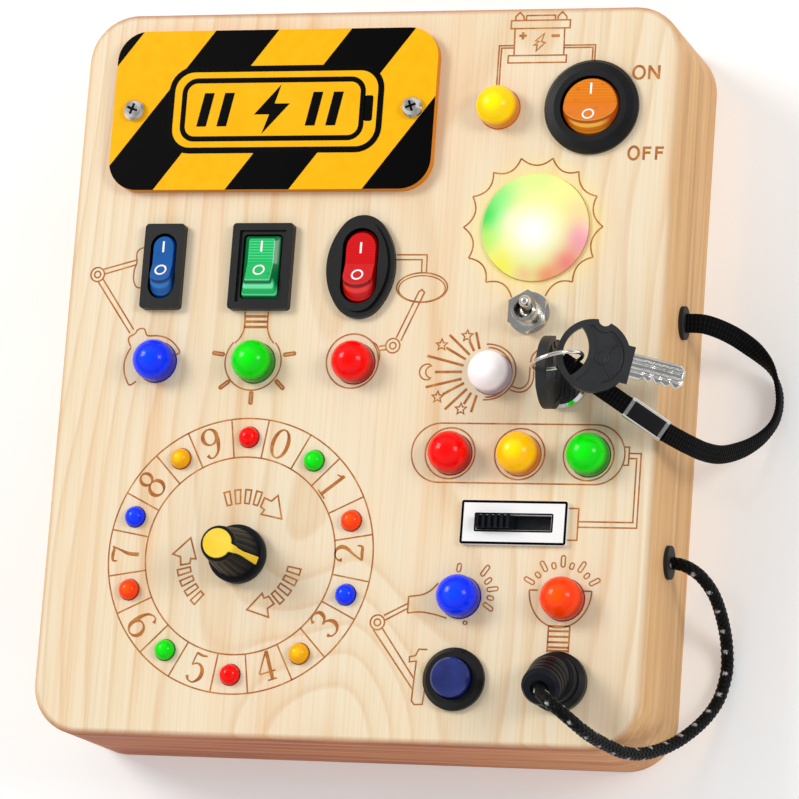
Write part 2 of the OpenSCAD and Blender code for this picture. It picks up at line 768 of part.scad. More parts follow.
module round_rocker_frame() {
    color("#202022") at(round_rocker_at) difference() {
        union() {
            translate([0, 0, face]) rotate_extrude() polygon([[0, 0], [round_bezel_d / 2, 0],
                [round_bezel_d / 2, 1], [round_bezel_d / 2 - 0.8, bezel_t],
                [round_bezel_d / 2 - 2.6, bezel_t + 0.2], [0, bezel_t + 0.2]]);
            translate([0, 0, face - housing_d]) cylinder(d = round_bezel_d - 3, h = housing_d);
        }
        translate([0, 0, pivot_z]) rocker_room(round_cap);
    }
}

module rocker_cap_at(place, cap) {
    at(place, pivot_z) rocker_cap(cap);
}

module slim_rocker_cap() { color("#0f4fa0") rocker_cap_at(slim_rocker_at, slim_cap); }
module square_rocker_cap() { color("#0e9a50") rocker_cap_at(square_rocker_at, square_cap); }
module oval_rocker_cap() { color("#c00010") rocker_cap_at(oval_rocker_at, oval_cap); }
module round_rocker_cap() { color("#e07000") rocker_cap_at(round_rocker_at, round_cap); }

// ---------- lamps ----------

// A lamp with a round top and a flange at its foot
module lamp(d, h, out, t) {
    cylinder(d = d, h = h - d / 2);
    translate([0, 0, h - d / 2]) sphere(d = d);
    cylinder(d = d + 2 * out, h = t);
}

module large_lamps(places) {
    for (p = places) at(p, inner) lamp(lamp_d, lamp_h, flange_out, flange_t);
}

function dial_lamp_at(k) = dial_at + dial_lamp_r * [cos(90 - 36 * k), sin(90 - 36 * k)];

module dial_lamps(first) {
    for (k = [first, first + 5]) at(dial_lamp_at(k), inner)
        lamp(small_lamp_d, small_lamp_h, small_flange_out, small_flange_t);
}

module yellow_lamps() { color("#ffd400") large_lamps(yellow_at); }
module blue_lamps() { color("#1030ff") large_lamps(blue_at); }
module green_lamps() { color("#10d020") large_lamps(green_at); }
module red_lamps() { color("#f01010") large_lamps(red_at); }
module white_lamp() { color("#f6f2f8") large_lamps(white_at); }
module orange_lamp() { color("#ff5a10") large_lamps(orange_at); }
module dial_lamps_red() { color("#f01010") dial_lamps(0); }
module dial_lamps_green() { color("#10d020") dial_lamps(1); }
module dial_lamps_orange() { color("#ff5a10") dial_lamps(2); }
module dial_lamps_blue() { color("#1030ff") dial_lamps(3); }
module dial_lamps_yellow() { color("#ffc800") dial_lamps(4); }

module sun_lens() {
    dome_r = (sun_d * sun_d / 4 + sun_rise * sun_rise) / (2 * sun_rise);
    wall_h = front_t + sun_lip;
    color("ivory") at(sun_at, inner) difference() {
        union() {
            cylinder(d = sun_d, h = wall_h);
            cylinder(d = sun_d + 2 * sun_flange_out, h = flange_t);
            intersection() {
                translate([0, 0, wall_h + sun_rise - dome_r]) sphere(r = dome_r);
                translate([0, 0, wall_h - eps]) cylinder(d = sun_d, h = sun_rise + 1);
            }
        }
        translate([0, 0, -eps]) cylinder(d = sun_d - 2 * sun_wall, h = wall_h - sun_wall);
    }
}

// ---------- toggle ----------

module toggle_body() {
    color("silver") at(toggle_at) difference() {
        union() {
            translate([0, 0, inner - toggle_case[2]]) linear_extrude(toggle_case[2])
                rounded(toggle_case[0], toggle_case[1], 0.5);
            translate([0, 0, inner - eps]) cylinder(d = bushing_d, h = front_t + bushing_h);
        }
        translate([0, 0, face - 4]) cylinder(r = toggle_bore_r, h = bushing_h + 5);
    }
}

module toggle_nut() {
    color("silver") at(toggle_at, face) {
        ring(washer_d, bushing_d + 2 * thread_gap, washer_t);
        translate([0, 0, washer_t]) hex_nut(toggle_nut_af, bushing_d + 2 * thread_gap, nut_t);
    }
}

module toggle_lever() {
    color("silver") at(toggle_at, lever_z) rotate([0, lever_tilt, 0]) {
        sphere(r = toggle_bore_r - free_gap);
        translate([0, 0, -3.2]) cylinder(r = 0.8, h = 3.2);
        cylinder(r1 = 1.05, r2 = 1.45, h = lever_l - 1.45);
        translate([0, 0, lever_l - 1.45]) sphere(r = 1.45);
    }
}

// ---------- push button ----------

module push_button_body() {
    color("#202022") at(button_at) difference() {
        union() {
            translate([0, 0, face]) rotate_extrude() polygon([[0, 0], [button_bezel_d / 2, 0],
                [button_bezel_d / 2, 1.2], [button_bezel_d / 2 - 1.1, button_bezel_t], [0, button_bezel_t]]);
            translate([0, 0, face - button_depth]) cylinder(d = barrel_d, h = button_depth);
        }
        translate([0, 0, face - button_skirt - button_travel - free_gap])
            cylinder(d = button_d + 2 * free_gap, h = 10);
        translate([0, 0, face - spring_seat]) cylinder(d = chamber_d, h = spring_seat + 1);
        translate([0, 0, face - button_depth - 1]) cylinder(d = stem_d + 2 * free_gap, h = 10);
    }
}

module push_button_cap() {
    top = button_bezel_t + button_rise;
    color("#22307a") at(button_at, face) {
        translate([0, 0, -button_skirt]) cylinder(d = button_d, h = button_skirt + top - 0.5);
        translate([0, 0, top - 0.5]) cylinder(d1 = button_d, d2 = button_d - 1, h = 0.5);
        translate([0, 0, -9.6]) cylinder(d = stem_d, h = 9.6 - button_skirt);
    }
}

module push_button_spring() {
    turns = 4;
    steps = 20;
    low = face - spring_seat + 0.15 + spring_wire / 2;
    height = spring_seat - button_skirt - 0.3 - spring_wire;
    coil = [for (k = [0 : turns * steps])
        let (a = 360 * k / steps)
        [button_at[0] + spring_r * cos(a), button_at[1] + spring_r * sin(a), low + height * k / (turns * steps)]];
    middle = [button_at[0], button_at[1], low];
    section = [for (k = [0 : 5]) spring_wire / 2 * [cos(60 * k), sin(60 * k)]];
    color("silver") sweep(coil, [for (p = coil) [p[0] - middle[0], p[1] - middle[1], 0]],
        section, [0, 1, 0.05], [0, 1, 0.05]);
}

// ---------- slide switch ----------

module slide_switch_body() {
    color("#303034") at(slide_at, face - switch_body[2]) difference() {
        linear_extrude(switch_body[2]) rounded(switch_body[0], switch_body[1], 0.5);
        translate([0, 0, switch_body[2] - slider_floor])
            linear_extrude(slider_floor + 1) square([slot_l, slot_w], center = true);
    }
}

module slide_switch_plate() {
    color("whitesmoke") at(slide_at, face) difference() {
        linear_extrude(switch_plate_t) rounded(switch_plate[0], switch_plate[1], 0.6);
        translate([0, 0, -eps]) linear_extrude(switch_plate_t + 1) square([slot_l, slot_w], center = true);
    }
}

module slide_switch_knob() {
    low = slider_floor - free_gap;
    wide = slot_w - 2 * free_gap;
    left = -slot_l / 2 + free_gap;
    color("#202022") at(slide_at, face) translate([left, 0, 0]) {
        translate([0, -wide / 2, -low]) cube([slider_l, wide, low + switch_plate_t + slider_rise - 0.8]);
        for (k = [0 : 5]) translate([0.25 + k * (slider_l - 1.2) / 5, -wide / 2, switch_plate_t + slider_rise - 0.8])
            cube([0.7, wide, 0.8]);
    }
}

// ---------- dial ----------

module rotary_switch_body() {
    color("#3a3a3e") at(dial_at) difference() {
        union() {
            translate([0, 0, inner - rotary_h]) cylinder(d = rotary_d, h = rotary_h);
            translate([0, 0, inner - eps]) cylinder(d = bushing7_d, h = front_t + bushing7_h);
        }
        translate([0, 0, inner - shaft_depth - free_gap])
            cylinder(d = shaft_d + 2 * shaft_gap, h = shaft_depth + front_t + bushing7_h + 1);
    }
}

module dial_shaft() {
    color("silver") at(dial_at, inner - shaft_depth)
        cylinder(d = shaft_d, h = shaft_depth + front_t + knob_h - 4);
}

module dial_knob() {
    color("#18181a") at(dial_at, face) difference() {
        rotate_extrude() polygon([[0, knob_lift], [knob_d / 2, knob_lift], [knob_d / 2, skirt_h - 0.5],
            [knob_d / 2 - 1, skirt_h], [knob_top_d / 2, knob_h - 0.4], [knob_top_d / 2 - 0.4, knob_h], [0, knob_h]]);
        cylinder(d = dial_nut_af / cos(30) + 2 * free_gap, h = hollow_h);
        cylinder(d = shaft_d + 0.04, h = knob_h - 4);
    }
}

module knob_cap() {
    slope = atan2(knob_d / 2 - 1 - knob_top_d / 2, knob_h - skirt_h);
    side = norm([knob_h - skirt_h, knob_d / 2 - 1 - knob_top_d / 2]);
    color("#ffd21f") at(dial_at, face) rotate(pointer_angle) {
        translate([0, 0, knob_h]) linear_extrude(pointer_t) {
            circle(d = pointer_disc_d);
            polygon([[0, -pointer_disc_d / 2], [knob_top_d / 2, -pointer_w / 2],
                [knob_top_d / 2, pointer_w / 2], [0, pointer_disc_d / 2]]);
        }
        translate([knob_top_d / 2, -pointer_w / 2, knob_h]) rotate([0, 180 - slope, 0])
            mirror([1, 0, 0]) translate([0, 0, -pointer_t]) cube([pointer_t, pointer_w, side - 0.6]);
    }
}

// ---------- key switch and keys ----------

module key_lock_body() {
    color("silver") at(lock_at) difference() {
        union() {
            translate([0, 0, face - lock_depth]) cylinder(d = lock_d, h = lock_depth);
            translate([0, 0, face]) rotate_extrude() polygon([[0, 0], [lock_flange_d / 2, 0],
                [lock_flange_d / 2, lock_flange_t - 0.7], [lock_flange_d / 2 - 0.7, lock_flange_t],
                [0, lock_flange_t]]);
        }
        translate([0, 0, face - lock_depth + rotor_floor])
            cylinder(d = rotor_d + 2 * shaft_gap, h = lock_depth + 5);
    }
}

module key_lock_rotor() {
    low = face - lock_depth + rotor_floor + 0.1;
    color("lightgray") at(lock_at) difference() {
        translate([0, 0, low]) cylinder(d = rotor_d, h = face + lock_flange_t - low);
        translate([0, 0, key_z - blade_l - free_gap]) linear_extrude(blade_l + 5)
            square([blade_t + 2 * free_gap, blade_w + 2 * free_gap], center = true);
    }
}

module panel_nuts() {
    color("silver") {
        for (n = [[button_at, barrel_d], [lock_at, lock_d], [jack_at, jack_barrel_d]])
            at(n[0], inner - panel_nut_t) rotate(30)
                hex_nut(n[1] + panel_nut_grip, n[1] + 2 * thread_gap, panel_nut_t);
        at(dial_at, face) hex_nut(dial_nut_af, bushing7_d + 2 * thread_gap, nut_t);
    }
}

// The head's outline: x is across, y runs from the blade to the round end.
module key_outline() {
    difference() {
        union() {
            translate([0, head_y]) circle(head_r);
            translate([-neck_w / 2, 0]) square([neck_w, head_y]);
            polygon([[-neck_w / 2, 1.6], [neck_w / 2, 1.6], [head_r - 1, head_y - 3], [1 - head_r, head_y - 3]]);
        }
        translate([0, head_y]) intersection() {
            circle(head_r - key_rim);
            translate([0, head_r - key_rim - slot_depth + slot_curve_r]) circle(slot_curve_r);
        }
        translate([head_r + 0.2, head_y - 0.6]) circle(1.5);
    }
}

// The sunk field inside the head's raised rim
module key_field() {
    difference() {
        translate([0, head_y]) circle(head_r - key_rim);
        translate([0, head_y + head_r - key_rim - slot_depth + slot_curve_r]) circle(slot_curve_r + key_rim);
        translate([head_r + 0.2, head_y - 0.6]) circle(1.5 + key_rim);
    }
}

// A key head standing on its neck: across is X, its thickness is Y, its round end is up.
module key_head_shape() {
    rotate([90, 0, 0]) difference() {
        linear_extrude(key_head_t, center = true) key_outline();
        for (side = [-1, 1]) translate([0, 0, side * key_head_t / 2])
            linear_extrude(2 * key_field_t, center = true) key_field();
    }
}

// The blade hangs from the neck, with cuts along one edge.
module key_blade_shape() {
    rotate([90, 0, 0]) linear_extrude(blade_t, center = true) difference() {
        translate([-blade_w / 2, -blade_l]) square([blade_w, blade_l]);
        for (s = [-1, 1]) translate([s * blade_w / 2, -blade_l]) rotate(45) square(2.2, center = true);
        for (k = [0 : 3]) translate([-blade_w / 2, -3.2 - 2.3 * k]) circle(0.5 + 0.15 * (k % 3), $fn = 4);
    }
}

module in_lock() {
    at(lock_at, key_z) rotate(90) children();
}

// The spare key hangs by its rim on the ring.
module on_ring() {
    reach = sqrt(pow(head_r - key_rim / 2, 2) - spare_side * spare_side);
    translate(rim_point) rotate(spare_yaw) rotate([0, spare_tilt, 0])
        translate([reach + head_y, spare_side, 0]) rotate([0, -90, 0]) rotate(90) children();
}

module key_head() { color("#202224") in_lock() key_head_shape(); }
module key_blade() { color("silver") in_lock() key_blade_shape(); }
module spare_key_head() { color("#202224") on_ring() key_head_shape(); }
module spare_key_blade() { color("silver") on_ring() key_blade_shape(); }

module ring_shape(wire) {
    translate([lock_at[0], lock_at[1], ring_z]) rotate(ring_turn)
        translate([ring_offset, 0, 0]) rotate([90, 0, 0])
            rotate_extrude() translate([ring_r, 0]) circle(d = wire);
}

module key_ring() { color("silver") ring_shape(ring_wire); }

// ---------- strap ----------

// Puts x along the strap's end direction, y across it
module along_strap(start) {
    d = unit(strap_dir);
    translate(start) rotate(atan2(d[1], d[0])) rotate([0, -asin(d[2]), 0]) children();
}

module strap_ferrule() {
    color("silver") along_strap(ferrule_start) rotate([90, 0, 90])
        linear_extrude(ferrule_l) rounded(ferrule_w, ferrule_t, 1);
}

// The webbing's folded end, with an eye that the ring runs through
module strap_loop() {
    color("#151517") difference() {
        along_strap(ferrule_start) translate([ferrule_l, 0, 0]) rotate([90, 0, 90])
            linear_extrude(loop_l) rounded(loop_w, loop_t, 0.7);
        ring_shape(ring_wire + 0.2);
    }
}

module key_strap() {
    n = 2;
    half_w = strap_w / 2;
    half_t = strap_t / 2;
    corner = 0.35;
    section = [[half_w, half_t - corner], [half_w - corner, half_t], [corner - half_w, half_t],
        [-half_w, half_t - corner], [-half_w, corner - half_t], [corner - half_w, -half_t],
        [half_w - corner, -half_t], [half_w, corner - half_t]];
    color("#151517")
        sweep(smooth(strap_route, n), smooth(strap_across, n), section, [1, 0, 0], strap_dir);
}

module grommet(y) {
    color("#151517") translate([board_w / 2, y, exit_z]) rotate([0, 90, 0]) {
        cylinder(d = grommet_d, h = grommet_t);
        translate([0, 0, -grommet_l]) cylinder(d = grommet_hole_d, h = grommet_l + eps);
    }
}

module strap_grommet() { grommet(strap_exit_y); }
module cord_grommet() { grommet(cord_exit_y); }

// ---------- jack, plug and cord ----------

module jack_body() {
    color("#202022") at(jack_at) difference() {
        union() {
            translate([0, 0, face]) rotate_extrude() polygon([[0, 0], [jack_ring_d / 2, 0],
                [jack_ring_d / 2, jack_ring_t - 1.2], [jack_ring_d / 2 - 1.2, jack_ring_t], [0, jack_ring_t]]);
            translate([0, 0, face - jack_depth]) cylinder(d = jack_barrel_d, h = jack_depth);
        }
        translate([0, 0, face + jack_ring_t - pin_l - 1]) cylinder(d = pin_d + 2 * shaft_gap, h = pin_l + 5);
    }
}

// A straight collar, and a ribbed grip that leans the way the cord pulls it
module plug_body() {
    color("#202022") at(jack_at, plug_z) {
        rotate_extrude() polygon([[0, 0], [plug_d / 2 - 0.6, 0], [plug_d / 2, 0.6],
            [plug_d / 2, collar_h - 1.6], [plug_d / 2 - 0.8, collar_h - 0.8], [0, collar_h - 0.8]]);
        translate([0, 0, collar_h]) sphere(r = grip_r - 0.05);
        translate([0, 0, collar_h]) rotate([grip_lean, 0, 0]) rotate_extrude() difference() {
            polygon([[0, 0], [grip_r, 0], [grip_r - 0.3, grip_l - 1.5], [grip_r - 1.1, grip_l - 0.4],
                [grip_r - 2.4, grip_l], [recess_r + 0.2, grip_l], [recess_r, grip_l - recess_t],
                [0, grip_l - recess_t]]);
            for (k = [0 : 2]) translate([grip_r - 0.6, 1.4 + 1.9 * k]) square([1, 0.5]);
        }
    }
}

module plug_pin() {
    tip = 2;
    color("silver") at(jack_at, plug_z - pin_l) {
        translate([0, 0, tip]) cylinder(d = pin_d, h = pin_l - tip);
        cylinder(d1 = pin_d - 2.6, d2 = pin_d, h = tip);
    }
}

module plug_cord() {
    path = smooth(cord_route, 2);
    section = [for (k = [0 : 7]) cord_d / 2 * [cos(45 * k), sin(45 * k)]];
    color("#151517") sweep(path, [for (p = path) p - cord_middle], section, [1, 0, 0], -grip_axis);
}

// ---------- assembly ----------

wooden_case();
back_panel();
screws();
battery_box();
battery_cover();
batteries();
battery_contacts();
circuit_boards();
solder_legs();
sign_plate();
round_rocker_frame();
round_rocker_cap();
slim_rocker_frame();
slim_rocker_cap();
square_rocker_frame();
square_rocker_cap();
oval_rocker_frame();
oval_rocker_cap();
yellow_lamps();
blue_lamps();
green_lamps();
red_lamps();
white_lamp();
orange_lamp();
dial_lamps_red();
dial_lamps_green();
dial_lamps_orange();
dial_lamps_blue();
dial_lamps_yellow();
sun_lens();
toggle_body();
toggle_nut();
toggle_lever();
push_button_body();
push_button_cap();
push_button_spring();
slide_switch_body();
slide_switch_plate();
slide_switch_knob();
rotary_switch_body();
dial_shaft();
dial_knob();
knob_cap();
key_lock_body();
key_lock_rotor();
panel_nuts();
key_head();
key_blade();
spare_key_head();
spare_key_blade();
key_ring();
strap_ferrule();
strap_loop();
key_strap();
strap_grommet();
jack_body();
plug_body();
plug_pin();
plug_cord();
cord_grommet();
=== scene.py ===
# %% [markdown]
# # Wooden busy board
# A toddler's board of pine with real switches and lamps on it, a number dial, a key on a strap and a
# jack plug on a braided cord. The solids arrive as a fixed frame, in metres. This script gives them
# their finishes and adds what solids are too plain for: cords, line drawings, print and relief.

import bpy
import numpy as np
from mathutils import Matrix


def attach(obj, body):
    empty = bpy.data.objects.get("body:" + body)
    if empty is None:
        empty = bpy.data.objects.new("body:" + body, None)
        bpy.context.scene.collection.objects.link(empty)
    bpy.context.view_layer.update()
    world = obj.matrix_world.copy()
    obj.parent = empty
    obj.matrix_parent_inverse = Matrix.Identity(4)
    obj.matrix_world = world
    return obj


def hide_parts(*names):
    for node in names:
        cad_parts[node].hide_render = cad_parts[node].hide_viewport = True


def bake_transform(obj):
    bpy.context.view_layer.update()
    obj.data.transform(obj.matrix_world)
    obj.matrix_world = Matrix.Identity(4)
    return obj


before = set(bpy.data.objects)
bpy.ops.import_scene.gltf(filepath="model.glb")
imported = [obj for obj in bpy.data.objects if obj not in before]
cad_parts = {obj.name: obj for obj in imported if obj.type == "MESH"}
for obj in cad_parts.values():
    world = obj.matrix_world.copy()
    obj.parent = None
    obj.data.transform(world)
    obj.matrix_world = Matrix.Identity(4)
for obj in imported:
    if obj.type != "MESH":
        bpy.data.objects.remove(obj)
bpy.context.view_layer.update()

# %% [markdown]
# ## Camera
# The board lies on its back, and the camera looks down on it from far away through a long lens, a
# little from the right and from below, so its right and bottom sides show. A far camera keeps the
# board's edges nearly parallel. Its three axes are given as directions and squared up, which is
# steadier than three angles.

# %% Helpers for directions
def unit(v):
    """Each vector divided by its own length."""
    v = np.asarray(v, float)
    return v / np.linalg.norm(v, axis=-1, keepdims=True)


def set_up(thing, side, back, place):
    """Adds a camera or a light to the scene: x along side, z along back, y square to both."""
    turned = np.eye(4)
    turned[:3] = np.stack([side, np.cross(back, side), back, place], 1)
    thing.matrix_world = Matrix(turned.tolist())
    bpy.context.scene.collection.objects.link(thing)


# %% Camera
picture_px = 799
focal_px = 4523
sensor_mm = 36
camera_at = [0.3355, -0.2196, 1.0321]
back = unit([0.3031, -0.1989, 0.9320])
side = np.array([0.9529, 0.0727, -0.2944])
side = unit(side - side.dot(back) * back)
camera = bpy.data.objects.new("camera", bpy.data.cameras.new("camera"))
camera.data.sensor_width = sensor_mm
camera.data.lens = focal_px * sensor_mm / picture_px
camera.data.clip_end = 20
set_up(camera, side, back, camera_at)
bpy.context.scene.camera = camera
print("lens %.1f mm" % camera.data.lens)

# %% [markdown]
# ## Cords
# A strap of black webbing ties the keys to the right side, and a round braided cord ties the plug to
# it. Both could be curves with a bevel, but a swept mesh can carry the ribs and the strands in its
# own surface. A short list of points gives the route, a Catmull-Rom curve rounds it, and the section
# is carried along at even steps.

# %% Helpers for surfaces
MM = 0.001


def grid_faces(rows, columns, ring):
    """Quads of a grid whose corner (i, j) is point i * columns + j. A ring's last column meets the first."""
    i, j = np.meshgrid(np.arange(rows - 1), np.arange(columns if ring else columns - 1), indexing="ij")
    k = (j + 1) % columns
    corners = [i * columns + j, i * columns + k, (i + 1) * columns + k, (i + 1) * columns + j]
    return np.stack(corners, -1).reshape(-1, 4)


def tube_faces(rows, columns):
    """Faces of a tube: a ring of quads, and one flat face on its first and on its last row."""
    first = list(range(columns))
    last = [k + (rows - 1) * columns for k in first]
    return grid_faces(rows, columns, True).tolist() + [first[::-1], last]


def around(columns):
    """The angles of points spread evenly round a circle, as one row."""
    return 2 * np.pi * np.arange(columns)[None, :] / columns


def add_piece(name, points, faces, uv=None, round_shading=True):
    """A mesh object from points in millimetres; uv holds one pair for each face corner, in face order."""
    mesh = bpy.data.meshes.new(name)
    mesh.from_pydata((np.asarray(points, float) * MM).tolist(), [], [list(map(int, f)) for f in faces])
    mesh.polygons.foreach_set("use_smooth", np.full(len(mesh.polygons), round_shading))
    if uv is not None:
        mesh.uv_layers.new(name="UVMap").data.foreach_set("uv", np.asarray(uv, float).ravel())
    mesh.update()
    piece = bpy.data.objects.new(name, mesh)
    bpy.context.scene.collection.objects.link(piece)
    return piece


def belong(piece, material, body, slot, *stands_for):
    """A piece's material, the body that it moves with, its slot, which is not used, and the solids it
    replaces.
    """
    piece.data.materials.append(material)
    if stands_for:
        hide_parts(*stands_for)
    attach(piece, body)


def run_along(path):
    """How far along the path each of its points is: the running sum of its steps."""
    return np.concatenate([[0], np.cumsum(np.linalg.norm(np.diff(path, axis=0), axis=1))])


def rounded_path(points, step=None, per_point=12):
    """The Catmull-Rom curve through the points: between two of them it is the cubic whose end slopes are
    half the distance between their neighbours. With a step, it is cut again at even lengths."""
    p = np.asarray(points, float)
    p = np.vstack([2 * p[0] - p[1], p, 2 * p[-1] - p[-2]])
    a, b, c, d = (p[k:len(p) - 3 + k, None, :] for k in range(4))
    t = np.linspace(0, 1, per_point, endpoint=False)[None, :, None]
    cubic = 2 * b + (c - a) * t + (2 * a - 5 * b + 4 * c - d) * t ** 2 + (3 * b - a - 3 * c + d) * t ** 3
    curve = np.vstack([(0.5 * cubic).reshape(-1, p.shape[1]), p[-2]])
    if step is None:
        return curve
    run = run_along(curve[:, :3])
    even = np.linspace(0, run[-1], int(round(run[-1] / step)) + 1)
    return np.stack([np.interp(even, run, curve[:, k]) for k in range(p.shape[1])], -1)


def swept(name, path, across, section):
    """A tube: section(run) gives each point's two offsets from the path, first along the `across`
    direction and then square to it and to the path. Both ends are closed with a flat face."""
    tangent = unit(np.gradient(path, axis=0))
    first = unit(across - (across * tangent).sum(-1, keepdims=True) * tangent)
    second = np.cross(tangent, first)
    run = run_along(path)
    u, v = section(run)
    rows, columns = u.shape
    points = path[:, None] + u[..., None] * first[:, None] + v[..., None] * second[:, None]
    i, j = np.meshgrid(np.arange(rows - 1), np.arange(columns), indexing="ij")
    corners = [np.stack([run[i + a], (j + b) / columns], -1) for a, b in ((0, 0), (0, 1), (1, 1), (1, 0))]
    on_ends = np.zeros((2 * columns, 2))
    uv = np.vstack([np.stack(corners, -2).reshape(-1, 2), on_ends])
    return add_piece(name, points.reshape(-1, 3), tube_faces(rows, columns), uv)


# %% Strap of ribbed webbing
strap_route = [
    (76, 15.5, 20), (80.2, 15.4, 19.4), (84.2, 14.5, 16.6), (87.8, 13, 12.6), (91, 10.8, 8.6),
    (93.6, 7.8, 5.4), (95.2, 4, 3.6), (95.7, -0.2, 3), (95, -4.4, 3.4), (93.2, -8.2, 5.4),
    (90.9, -11.6, 9.4), (88.4, -14.3, 14.6), (86.1, -16.2, 20.6), (84, -16.8, 26.8), (82.1, -16.6, 32.6),
    (80.1, -16, 37.4), (77.9, -15.1, 41)]
strap_across = [
    (0, 1, 0), (0, 1, 0.1), (0.1, 1, 0.3), (0.2, 1, 0.7), (0.2, 0.8, 1.1), (0.2, 0.4, 1.2), (0, 0.1, 1.2),
    (0, 0, 1.2), (0, 0, 1.2), (0, 0.2, 1.2), (0.1, 0.6, 1), (0.2, 0.9, 0.7), (0.4, 1, 0.4), (0.5, 1, 0.2),
    (0.5, 1, 0.1), (0.5, 1, 0), (0.5, 1, 0)]
strap_w = 4.6
strap_t = 1.4
rib_pitch = 0.95


def webbing_section(run, width=strap_w, thick=strap_t, columns=28):
    """A rounded flat section (a superellipse), thicker by 0.15 mm on each weft rib: the rib's height is the
    absolute sine of half the run over the rib pitch, and it fades out at the two selvedges."""
    c = np.cos(around(columns))
    s = np.sin(around(columns))
    rib = np.abs(np.sin(np.pi * run / rib_pitch))[:, None] ** 0.7
    u = width / 2 * np.sign(c) * np.abs(c) ** 0.55 * (1 - 0.012 * (1 - rib))
    v = np.sign(s) * np.abs(s) ** 0.45 * (thick / 2 - 0.12 + 0.15 * rib * np.abs(s) ** 0.5)
    return u, v


both = rounded_path(np.hstack([strap_route, strap_across]), step=0.16)
strap_path = both[:, :3]
strap = swept("key_strap_webbing", strap_path, both[:, 3:], webbing_section)
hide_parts("key_strap")
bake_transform(strap)
print("strap %.1f mm" % run_along(strap_path)[-1])

# %% Braided cord of the plug
cord_route = [
    (76, -42, 20), (79.6, -42.8, 20), (83, -45, 18.2), (85.2, -48.4, 14.2), (86.1, -52.6, 9.2),
    (86.4, -57.4, 4.4), (86.4, -62.8, 1.8), (86.1, -66.8, 2), (85.3, -71.6, 3.8), (83.7, -76, 7),
    (81.5, -80, 11.2), (78.9, -83.6, 16.2), (76.2, -86.4, 22), (73.6, -88.3, 28.6), (71.2, -88.9, 35.4),
    (69, -88.2, 41.6), (67.6, -87.6, 46), (66.4, -86.8, 50.4), (64.8, -85.4, 54.4), (61.9, -83, 56.8),
    (58.4, -80.4, 56.4), (56, -78.4, 53.7), (55, -76.968, 51.21)]
cord_middle = (70, -62, 24)
cord_d = 3.0
pick = 1.5
strands = 5


def braid_section(run, columns=40):
    """A round section whose radius swells where a strand comes to the top: the product of two waves that
    wind round the cord in opposite directions, which makes a net of long diamonds."""
    angle = around(columns)
    turn = np.pi * run[:, None] / pick
    swell = np.abs(np.cos(strands * angle / 2 + turn)) * np.abs(np.cos(strands * angle / 2 - turn))
    radius = cord_d / 2 - 0.16 + 0.22 * swell ** 0.6
    return radius * np.cos(angle), radius * np.sin(angle)


cord_path = rounded_path(cord_route, step=0.14)
cord = swept("plug_braided_cord", cord_path, cord_path - cord_middle, braid_section)
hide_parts("plug_cord")
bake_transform(cord)
print("cord %.1f mm, %d triangles" % (run_along(cord_path)[-1], 2 * len(cord.data.polygons)))

# %% [markdown]
# ## Tools for finishes
# Each material starts as a Principled shader. One helper adds any node with its settings and links,
# one turns a paint chip's hex colour into the linear numbers that the renderer wants, and one opens
# a material with its positions in millimetres, so that every pattern below is sized like the real one.

# %% Helpers for materials
def linear(chip):
    """An sRGB hex colour as linear red, green, blue, alpha: c/12.92 when dark, else ((c+0.055)/1.055)^2.4."""
    c = np.array([int(chip[k:k + 2], 16) for k in (1, 3, 5)]) / 255
    return (*np.where(c <= 0.04045, c / 12.92, ((c + 0.055) / 1.055) ** 2.4), 1.0)


def fill(node, inputs):
    """Fills a node's inputs. A number or a vector is set as it is and a hex colour as linear, while an output
    is linked; a node stands for its first output in use."""
    for key, source in inputs.items():
        if isinstance(source, str):
            source = linear(source)
        if isinstance(source, bpy.types.Node):
            source = next(output for output in source.outputs if output.enabled)
        if isinstance(source, bpy.types.NodeSocket):
            node.id_data.links.new(source, node.inputs[key])
        else:
            node.inputs[key].default_value = source


def add(tree, kind, inputs=(), stops=(), **settings):
    """One node: settings are its own, inputs go to fill, and stops are a ramp's places and hex colours."""
    made = tree.nodes.new("ShaderNode" + kind)
    for key, value in settings.items():
        setattr(made, key, value)
    fill(made, dict(inputs))
    if stops:
        chips = made.color_ramp.elements
        for end in (0, -1):
            chips[end].position = stops[end][0]
            chips[end].color = linear(stops[end][1])
        for place, chip in stops[1:-1]:
            chips.new(place).color = linear(chip)
    return made


def finish(name, values):
    """A new material: its tree, its shader with the values, and the place on the object in millimetres."""
    made = bpy.data.materials.new(name)
    made.use_nodes = True
    tree = made.node_tree
    shader = tree.nodes["Principled BSDF"]
    fill(shader, values)
    metres = add(tree, "TexCoord").outputs["Object"]
    spot = add(tree, "Mapping", {"Scale": (1000, 1000, 1000), "Vector": metres})
    return made, tree, shader, spot


MIX_A = 6
MIX_B = 7

# %% [markdown]
# ## Pine
# The case is one block of pine, sanded and clear sealed. Wood is a solid pattern: the growth rings are
# cylinders round a pith, and a board shows where it cuts them. So the ring pattern is worked out in
# depth, from the distance to a pith line behind the board that wanders a little, and the front shows
# straight lines at its sides and long arches in its middle. Fibres are noise drawn out along the grain.

# %% Noise drawn out along the grain
pine, tree, shader, spot = finish("pine_sanded_clear_sealed", {
    "Roughness": 0.5, "IOR": 1.5, "Specular IOR Level": 0.08})
streaks = {  # name: how many spots per millimetre along x, y and z, then detail and roughness
    "wander": ((0.016, 0.0045, 0.016), 2.0, 0.45), "fibre": ((1.5, 0.022, 1.5), 5.0, 0.62),
    "bands": ((0.09, 0.004, 0.09), 3.0, 0.5), "end": ((0.02, 0.5, 0.55), 4.0, 0.6),
    "side": ((0.5, 0.012, 0.4), 4.0, 0.6)}
noise = {}
for name, (per_mm, detail, rough) in streaks.items():
    drawn_out = add(tree, "Mapping", {"Scale": per_mm, "Vector": spot})
    noise[name] = add(tree, "TexNoise", {
        "Scale": 1.0, "Detail": detail, "Roughness": rough, "Vector": drawn_out})

